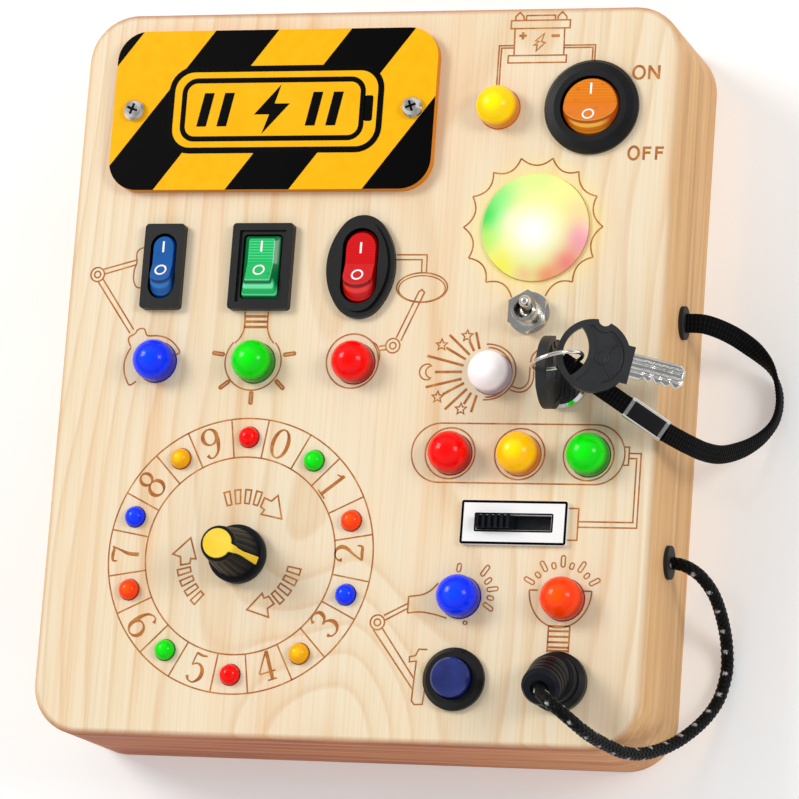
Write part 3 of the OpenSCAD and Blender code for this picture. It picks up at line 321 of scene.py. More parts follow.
# %% Growth rings and arches
ring_mm = 3.4
shift = add(tree, "VectorMath", {0: noise["wander"].outputs["Color"], 1: (34, 0, 34)}, operation="MULTIPLY")
moved = add(tree, "VectorMath", {0: spot, 1: shift}, operation="ADD")
flat = add(tree, "VectorMath", {0: moved, 1: (1, 0.035, 1)}, operation="MULTIPLY")
radius = add(tree, "VectorMath", {0: flat, 1: (30, -2.5, -42)}, operation="DISTANCE")
oval = add(tree, "VectorMath", {0: moved, 1: (1.0, 0.72, 0.8)}, operation="MULTIPLY")
off_arch = add(tree, "VectorMath", {0: oval, 1: (15.0, -66.0, 28.0)}, operation="DISTANCE")
arch = add(tree, "MapRange", {
    "Value": off_arch, "From Min": 4.0, "From Max": 44.0, "To Min": 24.0, "To Max": 0.0},
    interpolation_type="SMOOTHSTEP")
deep = add(tree, "Math", {0: radius, 1: arch}, operation="ADD")
rings = add(tree, "Math", {0: deep, 1: 1 / ring_mm}, operation="MULTIPLY")
in_ring = add(tree, "Math", {0: rings}, operation="FRACT")

# %% Colours of the pine
ring_colour = add(tree, "ValToRGB", {"Fac": in_ring}, [
    (0.0, "#F5E4C6"), (0.45, "#F2DEBC"), (0.72, "#EBCFA4"), (0.86, "#DDB07A"),
    (0.93, "#E1BA88"), (1.0, "#F5E4C6")])
fibre_tone = add(tree, "ValToRGB", {"Fac": noise["fibre"]}, [
    (0.3, "#D2A267"), (0.44, "#EBD2AA"), (0.54, "#F3E2C4"), (0.7, "#FAEFDA")])
band_tone = add(tree, "ValToRGB", {"Fac": noise["bands"]}, [
    (0.3, "#F0C497"), (0.45, "#F6E1C0"), (0.55, "#F4E5CA"), (0.7, "#F3D0AC")])
face_tone = add(tree, "Mix", {0: 0.42, MIX_A: ring_colour, MIX_B: fibre_tone}, data_type="RGBA")
banded = add(tree, "Mix", {0: 0.45, MIX_A: face_tone, MIX_B: band_tone}, data_type="RGBA")

# %% Ends and long sides
# The two ends are deeper in tone, partly from end grain that drinks more of the sealer and partly from
# painted shade; the long sides are deeper in tone from painted shade alone.
facing = add(tree, "SeparateXYZ", {0: add(tree, "TexCoord").outputs["Normal"]})
towards_end = add(tree, "Math", {0: facing.outputs["Y"]}, operation="ABSOLUTE")
end_grain_and_shade_share = add(tree, "Math", {0: towards_end, 1: 0.92}, operation="MULTIPLY")
towards_side = add(tree, "Math", {0: facing.outputs["X"]}, operation="ABSOLUTE")
side_shade_share = add(tree, "Math", {0: towards_side, 1: 0.85}, operation="MULTIPLY")
at_x = add(tree, "SeparateXYZ", {0: spot}).outputs["X"]
end_figure = add(tree, "Math", {0: at_x, 1: 0.0014, 2: noise["end"]}, operation="MULTIPLY_ADD")
end_grain_and_shade_tone = add(tree, "ValToRGB", {"Fac": end_figure}, [
    (0.3, "#963E1C"), (0.46, "#B2592C"), (0.56, "#C36E3A"), (0.72, "#DA9A62")])
# Painted shade on the long sides, over streaks of grain.
side_grain_and_shade_tone = add(tree, "ValToRGB", {"Fac": noise["side"]}, [
    (0.3, "#C08A50"), (0.46, "#D8A264"), (0.56, "#DDAA6E"), (0.72, "#EAC292")])
with_ends = add(tree, "Mix", {0: end_grain_and_shade_share, MIX_A: banded, MIX_B: end_grain_and_shade_tone}, data_type="RGBA")
wood = add(tree, "Mix", {0: side_shade_share, MIX_A: with_ends, MIX_B: side_grain_and_shade_tone}, data_type="RGBA")

# %% Painted light of the sun lens on the wood
# The lens's light is painted into the pale wood round it as a soft yellow tint.
sun_centre = (42.2, 34.7, 36.0)
from_sun = add(tree, "VectorMath", {0: spot, 1: sun_centre}, operation="DISTANCE")
painted_sun_glow = add(tree, "MapRange", {
    "Value": from_sun, "From Min": 12.0, "From Max": 20.0, "To Min": 0.55, "To Max": 0.0},
    interpolation_type="SMOOTHSTEP")
lit = add(tree, "Mix", {0: painted_sun_glow, MIX_A: wood, MIX_B: "#FFE98C"}, data_type="RGBA")
grain_bump = add(tree, "Bump", {"Strength": 0.25, "Distance": 0.00006, "Height": noise["fibre"]})
fill(shader, {"Base Color": lit, "Normal": grain_bump})
print("pine: growth rings", ring_mm, "mm apart")

# %% [markdown]
# ## Poplar plywood
# The back is a let-in sheet of thin plywood. Its face veneer is peeled from a log, so the figure is
# broad and cloudy, and its edge shows the glued layers, each about 1.3 mm thick.

# %% Poplar plywood, sanded
layer_mm = 1.3
plywood, tree, shader, spot = finish("poplar_plywood_sanded", {"Roughness": 0.6, "IOR": 1.5})
drawn_out = add(tree, "Mapping", {"Scale": (0.09, 0.012, 0.3), "Vector": spot})
figure = add(tree, "TexNoise", {
    "Scale": 1.0, "Detail": 6.0, "Roughness": 0.6, "Distortion": 0.6, "Vector": drawn_out})
veneer = add(tree, "ValToRGB", {"Fac": figure}, [
    (0.3, "#C99E6C"), (0.48, "#E0BE8E"), (0.62, "#E8CDA2"), (0.8, "#D2A876")])
at_z = add(tree, "SeparateXYZ", {0: spot}).outputs["Z"]
layer = add(tree, "Math", {0: at_z, 1: 1 / layer_mm}, operation="MULTIPLY")
in_layer = add(tree, "Math", {0: layer, 1: 1.0}, operation="PINGPONG")
layers = add(tree, "ValToRGB", {"Fac": in_layer}, [(0.0, "#B88552"), (0.5, "#DDBB8A"), (1.0, "#C9A06C")])
facing = add(tree, "SeparateXYZ", {0: add(tree, "TexCoord").outputs["Normal"]})
level = add(tree, "Math", {0: facing.outputs["Z"]}, operation="ABSOLUTE")
edge = add(tree, "Math", {0: level, 1: 0.5}, operation="LESS_THAN")
sheet = add(tree, "Mix", {0: edge, MIX_A: veneer, MIX_B: layers}, data_type="RGBA")
fibres = add(tree, "Bump", {"Strength": 0.3, "Distance": 0.0001, "Height": figure})
fill(shader, {"Base Color": sheet, "Normal": fibres})

# %% [markdown]
# ## Plastics
# The bezels, knobs and key heads are injection moulded, and the mould's surface gives them their look:
# a fine spark-eroded grain makes black plastic satin instead of glossy. One function makes them all
# from two near shades, a grain size and a roughness, since only those differ.

# %% Moulded plastics and rubber
def moulded(name, chip, second, grain_mm, roughness, depth=0.00003, coat=0.0, specular=0.5):
    """Moulded plastic: two near shades in soft clouds 6 mm wide, and a bump with grains of the given size."""
    made, tree, shader, spot = finish(name, {
        "Roughness": roughness, "IOR": 1.5, "Coat Weight": coat, "Coat Roughness": 0.08,
        "Specular IOR Level": specular})
    cloud = add(tree, "TexNoise", {"Scale": 1 / 6, "Detail": 3.0, "Vector": spot})
    shade = add(tree, "ValToRGB", {"Fac": cloud}, [(0.35, chip), (0.65, second)])
    grain = add(tree, "TexNoise", {"Scale": 1 / grain_mm, "Detail": 2.0, "Vector": spot})
    gloss = add(tree, "MapRange", {"Value": grain, "To Min": roughness - 0.06, "To Max": roughness + 0.08})
    bump = add(tree, "Bump", {"Strength": 0.35, "Distance": depth, "Height": grain})
    fill(shader, {"Base Color": shade, "Roughness": gloss, "Normal": bump})
    return made


# Bezels: satin with a soft highlight.
nylon_black = moulded("nylon_66_black_satin", "#0A0A0C", "#111215", 0.3, 0.36, specular=0.3)
# Knob, plug and slider: finer grain, and hardly a highlight.
abs_black = moulded("abs_black_fine_grain", "#121519", "#181B21", 0.35, 0.38, specular=0.1)
# Key heads: coarse satin, a little greyer.
key_black = moulded("abs_black_key_head", "#141517", "#1F2023", 0.45, 0.46, 0.00005, specular=0.5)
# Grommets: matt.
rubber_black = moulded("rubber_black_matt", "#0B0B0C", "#121213", 0.5, 0.7, 0.00004)
# Hidden switch bodies, and the battery box with its cover: dull greys.
housing_grey = moulded("nylon_dark_grey_housing", "#26282C", "#303338", 0.5, 0.55)
box_grey = moulded("polypropylene_grey_box", "#3E4146", "#4A4E53", 0.6, 0.5)
# Plate of the slide switch: bright and smooth.
switch_white = moulded("abs_white_gloss", "#FCFBFA", "#FFFFFF", 0.8, 0.24, 0.00002, 0.2)
# Push button: deep blue and wet-looking.
cap_navy = moulded("abs_navy_gloss", "#17225F", "#26347F", 1.2, 0.22, 0.00002, 0.3)
# Pointer of the dial.
pointer_yellow = moulded("abs_yellow_insert", "#F9CF1C", "#FFDB3C", 0.6, 0.34, 0.00002)

# %% [markdown]
# ## Metals
# The nuts, screws, lever, key blades and ring are nickel plated, and the lock is chromed. A metal has
# no colour of its own under its reflection, so the finish is all in how sharp that reflection is: fine
# scratches run round turned parts, and plating over them rounds them off.

# %% Nickel and chrome
def plated(name, chip, second, roughness, scratch_mm):
    """Plated metal: fully metallic, a slightly cloudy colour, and a roughness broken up by fine scratches."""
    made, tree, shader, spot = finish(name, {"Metallic": 1.0, "Roughness": roughness})
    cloud = add(tree, "TexNoise", {"Scale": 1 / 2.5, "Detail": 3.0, "Vector": spot})
    tone = add(tree, "ValToRGB", {"Fac": cloud}, [(0.3, chip), (0.7, second)])
    scratch = add(tree, "TexNoise", {
        "Scale": 1 / scratch_mm, "Detail": 4.0, "Roughness": 0.7, "Vector": spot})
    gloss = add(tree, "MapRange", {
        "Value": scratch, "From Min": 0.3, "From Max": 0.7,
        "To Min": roughness * 0.8, "To Max": roughness * 1.3})
    bump = add(tree, "Bump", {"Strength": 0.05, "Distance": 0.00002, "Height": scratch})
    fill(shader, {"Base Color": tone, "Roughness": gloss, "Normal": bump})
    return made


nickel = plated("nickel_bright_plate", "#D9D6D0", "#EDEBE6", 0.16, 0.5)
chrome = plated("chrome_polished_lock", "#E3E4E6", "#F4F4F5", 0.1, 0.8)

# %% [markdown]
# ## Lamps
# Each lamp is an epoxy lens with the colour in the resin. Light from the chip fills the tip, and the wall
# below it looks deeper: that light and shade is painted into the colour, which follows how level the surface
# is, as the normal's own height tells, and a little emission lights it from within.

# %% Epoxy lamp lenses
def lens(name, dye, glow, other=None):
    """Dyed epoxy with painted light and shade: the colour goes through three tones of the dye, from a lit tip
    to a shaded rim, as the surface steepens.
    other gives a place and three more tones, for a lamp of another dye that is in the same solid."""
    made, tree, shader, spot = finish(name, {
        "Roughness": 0.15, "IOR": 1.5, "Specular IOR Level": 0.24, "Emission Strength": glow})
    level = add(tree, "SeparateXYZ", {0: add(tree, "TexCoord").outputs["Normal"]}).outputs["Z"]
    slant = add(tree, "MapRange", {"Value": level, "From Min": 1.0, "From Max": 0.0})
    cloud = add(tree, "TexNoise", {"Scale": 1 / 4, "Detail": 2.0, "Vector": spot})
    uneven = add(tree, "Math", {0: cloud, 1: 0.1}, operation="MULTIPLY")
    depth = add(tree, "Math", {0: slant, 1: uneven}, operation="ADD")
    tints = []
    for lit_tip, middle, rim in [dye] + ([other[1]] if other else []):
        tones = [(0.05, lit_tip), (0.22, middle), (0.62, middle), (0.98, rim)]
        tints.append(add(tree, "ValToRGB", {"Fac": depth}, tones))
    tint = tints[0]
    if other:
        apart = add(tree, "VectorMath", {0: spot, 1: other[0]}, operation="DISTANCE")
        near = add(tree, "Math", {0: apart, 1: 14.0}, operation="LESS_THAN")
        tint = add(tree, "Mix", {0: near, MIX_A: tints[0], MIX_B: tints[1]}, data_type="RGBA")
    fill(shader, {"Base Color": tint, "Emission Color": tint})
    return made


middle_traffic_lamp = (42.0, -19.7, 42.0)
lens_red = lens("epoxy_lens_red", ("#FF0A06", "#F80402", "#A00002"), 0.16)
lens_green = lens("epoxy_lens_green", ("#0CF010", "#04DC06", "#027A06"), 0.14)
lens_blue = lens("epoxy_lens_blue", ("#0A44FF", "#0630F4", "#030C96"), 0.24)
lens_yellow = lens("epoxy_lens_yellow", ("#FFEE04", "#FFD202", "#CC7400"), 0.2,
                   (middle_traffic_lamp, ("#FFE006", "#FFBE02", "#BE6600")))
lens_amber = lens("epoxy_lens_amber", ("#FFCC08", "#F7AC04", "#AC5A00"), 0.12)
lens_orange = lens("epoxy_lens_orange", ("#FF5404", "#FC3E02", "#AC2200"), 0.2)
lens_white = lens("epoxy_lens_white", ("#FFFFFF", "#FBF2F2", "#A89CAE"), 0.2)

# %% [markdown]
# ## Sun lens
# The big flat dome is frosted acrylic over a colour-changing lamp: several colours shine through at
# once and run into each other. Each colour is a soft round patch laid over the last one, and the
# middle stays almost white.

# %% Frosted acrylic sun
sun, tree, shader, spot = finish("acrylic_frosted_sun_lens", {
    "Roughness": 0.34, "IOR": 1.49, "Emission Strength": 0.12})
patches = [  # colour, place from the middle, reach in millimetres, weight at its own middle
    ("#EEF29A", (0, 0), 60, 1.0), ("#B8F08C", (-9, 10.5), 12, 0.9), ("#1FD950", (-13, 3.5), 12.5, 1.0),
    ("#8CEB84", (-10, 7.5), 6, 0.6), ("#D9F58A", (1, 13), 8, 0.9), ("#F4F096", (8, 10), 8, 0.8),
    ("#B4EE5C", (-12.5, -4), 6.5, 0.9), ("#F3EE3C", (-8.5, -10.5), 8, 0.95), ("#FAD0A0", (12, 3), 8, 0.7),
    ("#F48CB0", (12.5, -3.5), 8, 0.95), ("#F76A7C", (9, -9.5), 7.5, 0.95), ("#FF5458", (4, -13), 6, 0.9),
    ("#F9B48A", (-2, -12.5), 5, 0.8), ("#FFF6E2", (1, -1.8), 10.5, 0.95), ("#FFFCF6", (0.5, -2), 6, 0.9)]
glow = patches[0][0]
for chip, (x, y), reach, weight in patches:
    centre = (sun_centre[0] + x, sun_centre[1] + y, 39.0)
    away = add(tree, "VectorMath", {0: spot, 1: centre}, operation="DISTANCE")
    here = add(tree, "MapRange", {
        "Value": away, "From Min": 0.0, "From Max": reach, "To Min": weight, "To Max": 0.0},
        interpolation_type="SMOOTHERSTEP")
    glow = add(tree, "Mix", {0: here, MIX_A: glow, MIX_B: chip}, data_type="RGBA")
frost = add(tree, "TexNoise", {"Scale": 1 / 0.4, "Detail": 2.0, "Vector": spot})
frosted = add(tree, "Bump", {"Strength": 0.15, "Distance": 0.00003, "Height": frost})
fill(shader, {"Base Color": glow, "Emission Color": glow, "Normal": frosted})
print("sun lens:", len(patches), "patches of colour")

# %% [markdown]
# ## Rocker caps
# The rocker caps are clear polycarbonate with dye in it. Each one is a wedge with slanting walls: its two
# top faces meet in a crease over the pivot, and the lifted end falls away in a long lip where light
# gathers. A cap is made of slices along its length. Every slice is a loop that climbs the left wall,
# crosses the top and goes down the right wall, and the UV map keeps how far down the wall a point is.

# %% Shape of a rocker cap
pivot_z = 36.2
crest_h = 2.0
half_turn = np.radians(12)
wall_foot_z = 35.0
wall_top_z = 36.9
crest_y = crest_h * np.sin(half_turn)
level_z = pivot_z + crest_h * np.cos(half_turn)


def rocker_cap(name, centre, size, corner_r, low_in, high_in, side_in):
    """Half width of a slice: the rounded rectangle's, w/2 - r + sqrt(r^2 - past^2), where past is how far
    y is into the corner. The top face is that outline drawn in at the sides and at both ends. It is level
    above the crease and rises by the tangent of the whole turn below it. The walls swell a little."""
    w, l = size
    slices = np.sin(np.linspace(-np.pi / 2, np.pi / 2, 61))
    slices = np.sort(np.append(slices, crest_y / (l / 2 - high_in)))
    closing = np.linspace(0, 0.8, 5)
    s = np.concatenate([np.full(5, -1.0), slices, np.full(5, 1.0)])
    q = np.concatenate([closing, np.ones(62), closing[::-1]])
    base_y = s * l / 2
    past = np.clip(np.abs(base_y) - (l / 2 - corner_r), 0, corner_r)
    half = q * (w / 2 - corner_r + np.sqrt(corner_r ** 2 - past ** 2))
    top_y = s * np.where(s < 0, l / 2 - low_in, l / 2 - high_in)
    top_z = level_z + np.maximum(crest_y - top_y, 0) * np.tan(2 * half_turn)
    top_half = half * (1 - 2 * side_in / w)
    up = np.linspace(0, 1, 9)
    half, base_y, top_half, top_y, top_z = (v[:, None] for v in (half, base_y, top_half, top_y, top_z))
    wall_x = half + (top_half - half) * up ** 1.2
    wall_y = base_y + (top_y - base_y) * up ** 1.2
    wall_z = wall_top_z + (top_z - wall_top_z) * up
    across = np.linspace(-1, 1, 13)[None, 1:-1]
    foot_z = 0 * half + wall_foot_z
    x = np.hstack([-half, -wall_x, top_half * across, wall_x[:, ::-1], half])
    y = np.hstack([base_y, wall_y, top_y + 0 * across, wall_y[:, ::-1], base_y])
    z = np.hstack([foot_z, wall_z, top_z + 0 * across, wall_z[:, ::-1], foot_z])
    depth = np.concatenate([[1.1], 1 - up, 0 * across[0], (1 - up)[::-1], [1.1]])
    faces = grid_faces(*x.shape, True)
    uv = np.stack([np.broadcast_to(depth, x.shape), np.broadcast_to(s[:, None], x.shape)], -1).reshape(-1, 2)
    points = np.stack([x + centre[0], y + centre[1], z], -1).reshape(-1, 3)
    piece = add_piece(name, points, faces, uv[faces.ravel()])
    piece.data.set_sharp_from_angle(angle=np.radians(20))
    return piece


# %% The four caps
cap_shapes = {  # body: middle, width and length, corner radius, then low end, high end and sides drawn in
    "slim_rocker": ((-50.4, 25.0), (6.0, 15.4), 2.95, 4.1, 0.5, 0.5),
    "square_rocker": ((-25.3, 25.0), (9.2, 15.2), 0.7, 3.9, 1.0, 1.5),
    "oval_rocker": ((-0.2, 25.0), (8.4, 17.8), 4.15, 4.2, 0.9, 0.6),
    "round_rocker": ((54.0, 64.0), (14.0, 14.0), 6.98, 3.0, 0.5, 0.55)}
caps = {body: rocker_cap(body + "_dyed_cap", *shape) for body, shape in cap_shapes.items()}
print("faces of each cap:", [len(cap.data.polygons) for cap in caps.values()])


# %% Dyed polycarbonate
def dyed(name, deep, body, bright, glow, lines):
    """Dyed clear plastic that a little emission gives a painted glow. The top is one cloudy tone, with guide
    lines 0.7 mm apart beyond the crease. Down the walls it deepens into painted shade, near black at the
    foot, under a painted highlight along the top edge, and on the lip two bright bands of painted light show
    where light leaves the plastic."""
    made, tree, shader, spot = finish(name, {
        "Roughness": 0.2, "IOR": 1.5, "Specular IOR Level": 0.35, "Emission Strength": glow})
    place = add(tree, "SeparateXYZ", {0: add(tree, "UVMap", uv_map="UVMap")})
    down_wall = place.outputs["X"]
    along_cap = place.outputs["Y"]
    cloud = add(tree, "TexNoise", {"Scale": 1 / 1.6, "Detail": 4.0, "Roughness": 0.6, "Vector": spot})
    top = add(tree, "ValToRGB", {"Fac": cloud}, [(0.2, deep), (0.4, body), (0.68, body), (0.95, bright)])
    at_y = add(tree, "SeparateXYZ", {0: spot}).outputs["Y"]
    turn = add(tree, "Math", {0: at_y, 1: 2 * np.pi / 0.7}, operation="MULTIPLY")
    wave = add(tree, "MapRange", {"Value": add(tree, "Math", {0: turn}, operation="SINE")})
    beyond = add(tree, "MapRange", {
        "Value": along_cap, "From Min": 0.05, "From Max": 0.3, "To Min": 0.0, "To Max": lines})
    line = add(tree, "Math", {0: wave, 1: beyond}, operation="MULTIPLY")
    ruled = add(tree, "Mix", {0: line, MIX_A: top, MIX_B: bright}, data_type="RGBA")
    # Walls: a painted highlight at the top edge, then painted shade down to the foot.
    wall = add(tree, "ValToRGB", {"Fac": down_wall}, [
        (0.0, body), (0.03, bright), (0.1, deep), (0.7, deep), (1.0, "#050505")])
    # Lip: two bright bands of painted light.
    lip = add(tree, "ValToRGB", {"Fac": down_wall}, [
        (0.0, body), (0.03, bright), (0.1, deep), (0.2, deep), (0.28, bright), (0.42, bright), (0.5, body),
        (0.72, body), (0.8, bright), (0.88, deep)])
    at_end = add(tree, "MapRange", {"Value": along_cap, "From Min": -0.62, "From Max": -0.9})
    below = add(tree, "Mix", {0: at_end, MIX_A: wall, MIX_B: lip}, data_type="RGBA")
    on_wall = add(tree, "Math", {0: down_wall, 1: 0.001}, operation="GREATER_THAN")
    tint = add(tree, "Mix", {0: on_wall, MIX_A: ruled, MIX_B: below}, data_type="RGBA")
    fill(shader, {"Base Color": tint, "Emission Color": tint})
    return made


cap_blue = dyed("polycarbonate_cap_blue", "#083A80", "#1159A4", "#2F7CC4", glow=0.04, lines=0.0)
cap_green = dyed("polycarbonate_cap_green", "#067038", "#10B45C", "#74F0B0", glow=0.14, lines=0.45)
cap_red = dyed("polycarbonate_cap_red", "#8A0006", "#CE040A", "#F43A34", glow=0.1, lines=0.1)
cap_amber = dyed("polycarbonate_cap_amber", "#BE5006", "#E07810", "#FFC24A", glow=0.08, lines=0.2)
for (body, cap), dye, slot in zip(caps.items(), (cap_blue, cap_green, cap_red, cap_amber),
                                  ("blue_cap", "green_cap", "red_cap", "amber_cap")):
    belong(cap, dye, body, slot, body + "_cap")

# %% [markdown]
# ## Printed sign plate
# The plate is gloss acrylic with slanting hazard stripes printed on its front. Stripes are the same all
# along one direction, so one number decides the colour: how far a point is along x, after y times the
# slope of the stripes is taken off. The bare edge shows the plate's own amber.

# %% Printed acrylic plate
stripe_slope = 0.7325
stripe_start = -102.75
stripe_pitch = 34.8
stripe_black = 16.3
printed, tree, shader, spot = finish("acrylic_printed_hazard_stripes", {
    "Roughness": 0.3, "IOR": 1.49, "Specular IOR Level": 0.06})
apart = add(tree, "SeparateXYZ", {0: spot})
slid = add(tree, "Math", {0: apart.outputs["Y"], 1: -stripe_slope, 2: apart.outputs["X"]},
           operation="MULTIPLY_ADD")
phase = add(tree, "Math", {0: slid, 1: stripe_start}, operation="SUBTRACT")
wrapped = add(tree, "Math", {0: phase, 1: stripe_pitch, 2: 0.0}, operation="WRAP")
black = add(tree, "Math", {0: wrapped, 1: stripe_black}, operation="LESS_THAN")
ink = add(tree, "TexNoise", {"Scale": 1 / 3, "Detail": 3.0, "Vector": spot})
yellow_ink = add(tree, "ValToRGB", {"Fac": ink}, [(0.3, "#FDB70E"), (0.7, "#FEBE18")])
striped = add(tree, "Mix", {0: black, MIX_A: yellow_ink, MIX_B: "#020202"}, data_type="RGBA")
facing = add(tree, "SeparateXYZ", {0: add(tree, "TexCoord").outputs["Normal"]})
front = add(tree, "Math", {0: facing.outputs["Z"], 1: 0.7}, operation="GREATER_THAN")
plate = add(tree, "Mix", {0: front, MIX_A: "#E08A12", MIX_B: striped}, data_type="RGBA")
fill(shader, {"Base Color": plate})

# %% Inks
# The yellow is the clear field under the sign. The black is the sign itself and the outline of the slide
# switch, and it also paints the shade in the sockets of the screws; the white is the I and O on the rocker
# caps.
ink_yellow = moulded("screen_ink_yellow", "#FDB70E", "#FEBE18", 0.7, 0.3, 0.00001, specular=0.06)
black_ink_and_painted_shade = moulded("screen_ink_black", "#020202", "#040404", 0.7, 0.3, 0.00001, specular=0.06)
ink_white = moulded("pad_print_white", "#F4F6F4", "#FFFFFF", 0.5, 0.35, 0.00001)

# %% [markdown]
# ## Textiles
# The webbing is woven from matt polyester, and the cord is braided from a glossier yarn with a few
# light strands. Both surfaces already carry ribs and strands, so their materials only add the yarn:
# they read the UV map, whose first number is the run in millimetres, so nothing slides when they bend.

# %% Webbing
warp_yarns = 22
webbing, tree, shader, spot = finish("polyester_webbing_black", {
    "Roughness": 0.7, "IOR": 1.5, "Specular IOR Level": 0.08, "Sheen Weight": 0.03, "Sheen Roughness": 0.4})
woven = add(tree, "SeparateXYZ", {0: add(tree, "UVMap", uv_map="UVMap")})
weft_turn = add(tree, "Math", {0: woven.outputs["X"], 1: np.pi / rib_pitch}, operation="MULTIPLY")
warp_turn = add(tree, "Math", {0: woven.outputs["Y"], 1: 2 * np.pi * warp_yarns}, operation="MULTIPLY")
weft = add(tree, "Math", {0: add(tree, "Math", {0: weft_turn}, operation="SINE")}, operation="ABSOLUTE")
warp = add(tree, "Math", {0: add(tree, "Math", {0: warp_turn}, operation="SINE"), 1: 0.25, 2: 0.6},
           operation="MULTIPLY_ADD")
crest = add(tree, "Math", {0: weft, 1: warp}, operation="MULTIPLY")
yarn = add(tree, "ValToRGB", {"Fac": crest}, [(0.1, "#020202"), (0.5, "#0A0A0B"), (0.85, "#1A1A1C")])
bump = add(tree, "Bump", {"Strength": 0.5, "Distance": 0.00008, "Height": crest})
fill(shader, {"Base Color": yarn, "Normal": bump})
strap.data.materials.append(webbing)

# %% Braid
braid, tree, shader, spot = finish("polyester_braid_black_fleck", {
    "Roughness": 0.45, "IOR": 1.5, "Specular IOR Level": 0.12, "Sheen Weight": 0.02, "Sheen Roughness": 0.35})
on_cord = add(tree, "UVMap", uv_map="UVMap")
woven = add(tree, "SeparateXYZ", {0: on_cord})
wound = add(tree, "Math", {0: woven.outputs["Y"], 1: strands / 2}, operation="MULTIPLY")
strand = []
for slope in (0.5 / pick, -0.5 / pick):
    lean = add(tree, "Math", {0: woven.outputs["X"], 1: slope, 2: wound}, operation="MULTIPLY_ADD")
    strand.append(add(tree, "Math", {0: lean, 1: 1.0}, operation="PINGPONG"))
crossing = add(tree, "Math", {0: strand[0], 1: strand[1]}, operation="MULTIPLY")
drawn_out = add(tree, "Mapping", {"Scale": (1.6, 26, 1), "Vector": on_cord})
fine = add(tree, "TexNoise", {"Scale": 1.0, "Detail": 3.0, "Roughness": 0.7, "Vector": drawn_out})
fleck = add(tree, "Math", {0: crossing, 1: fine}, operation="MULTIPLY")
yarn = add(tree, "ValToRGB", {"Fac": fleck}, [
    (0.02, "#020202"), (0.24, "#060607"), (0.33, "#18181A"), (0.4, "#B9BABC")])
bump = add(tree, "Bump", {"Strength": 0.5, "Distance": 0.00008, "Height": fine})
fill(shader, {"Base Color": yarn, "Normal": bump})
cord.data.materials.append(braid)

# %% [markdown]
# ## Burnt lines
# The drawings are burnt into the wood by a laser: thin brown lines, darker where the beam lingered.
# They lie as flat ribbons a few hundredths of a millimetre above the face, because a ribbon keeps an
# even width round corners and stays sharp at any zoom.

# %% Burnt wood
burnt, tree, shader, spot = finish("pine_laser_burnt", {"Roughness": 0.75, "IOR": 1.5})
scorch = add(tree, "TexNoise", {"Scale": 1 / 3.5, "Detail": 5.0, "Roughness": 0.65, "Vector": spot})
brown = add(tree, "ValToRGB", {"Fac": scorch}, [(0.3, "#96500F"), (0.5, "#B46A24"), (0.68, "#CF8E40")])
fill(shader, {"Base Color": brown})


# %% Helpers for line drawings
# The case's face is at 36 mm, and the burnt lines lie just above it.
print_z = 36.03


def flat_at(z, x=0.0, y=0.0):
    """Lays flat points down at a height, moved by x and y."""
    return lambda p: np.column_stack([p + (x, y), np.full(len(p), z)])


def stroke(points, width, closed=False):
    """A flat ribbon: each point moves half the width to both sides, along the mean normal of its two
    segments, and further at a corner, by one over the cosine of half the turn, up to twice."""
    p = np.asarray(points, float)
    width = np.broadcast_to(np.asarray(width, float), len(p))
    if closed:
        ahead = np.roll(p, -1, 0) - p
        behind = p - np.roll(p, 1, 0)
    else:
        step = np.diff(p, axis=0)
        ahead = np.vstack([step, step[-1:]])
        behind = np.vstack([step[:1], step])
    ahead, behind = (np.stack([-unit(d)[:, 1], unit(d)[:, 0]], -1) for d in (ahead, behind))
    mitre = unit(ahead + behind)
    reach = width / 2 / np.clip((mitre * ahead).sum(-1), 0.5, 1)
    sides = np.stack([p + mitre * reach[:, None], p - mitre * reach[:, None]], 1).reshape(-1, 2)
    k = np.arange(len(p) if closed else len(p) - 1)
    after = (k + 1) % len(p)
    return sides, np.stack([2 * k + 1, 2 * after + 1, 2 * after, 2 * k], -1)


def draw(name, lines=(), fills=(), place=flat_at(print_z)):
    """One mesh of ribbons (points, width, closed) and filled outlines; place lays the flat points in space.
    Each ribbon lies 0.003 mm above the one before, in turns of five, so no two that cross share a plane."""
    points = []
    faces = []
    lifts = []
    count = 0
    for k, line in enumerate(lines):
        p, f = stroke(*line)
        points.append(p)
        lifts.append(np.full(len(p), 0.003 * (k % 5)))
        faces += (f + count).tolist()
        count += len(p)
    for outline in fills:
        points.append(np.asarray(outline, float))
        lifts.append(np.zeros(len(outline)))
        faces.append(list(range(count, count + len(outline))))
        count += len(outline)
    placed = place(np.vstack(points))
    placed[:, 2] += np.concatenate(lifts)
    return add_piece(name, placed, faces, round_shading=False)


def towards(angle, radius=1.0):
    """The points at a distance from zero at one angle or more, in degrees."""
    a = np.radians(angle)
    return np.stack([radius * np.cos(a), radius * np.sin(a)], -1)


def arc(centre, radius, start, stop, count=48):
    """Points on a circle, or on an ellipse with two radii, from one angle to another in degrees."""
    return np.asarray(centre, float) + towards(np.linspace(start, stop, count)) * np.broadcast_to(radius, 2)


def loop(centre, radius, count=72):
    """A whole circle or ellipse, without its last point."""
    return arc(centre, radius, 0, 360, count + 1)[:-1]


def turned_by(angle):
    """The matrix that turns flat points, written as rows, by an angle in degrees."""
    return np.array([towards(angle), towards(angle + 90)])


def pill(centre, length, width, angle):
    """The outline of a bar with round ends: two half circles, turned by the angle."""
    half = (length - width) / 2
    shape = np.vstack([arc((half, 0), width / 2, -90, 90, 9), arc((-half, 0), width / 2, 90, 270, 9)])
    return shape @ turned_by(angle) + centre


def slab(x, y, w, h, r, count=9):
    """A rounded rectangle about (x, y): four quarter circles joined."""
    quarters = ((1, 1, 0), (-1, 1, 90), (-1, -1, 180), (1, -1, 270))
    return np.vstack([arc((x + sx * (w / 2 - r), y + sy * (h / 2 - r)), r, a, a + 90, count)
                      for sx, sy, a in quarters])


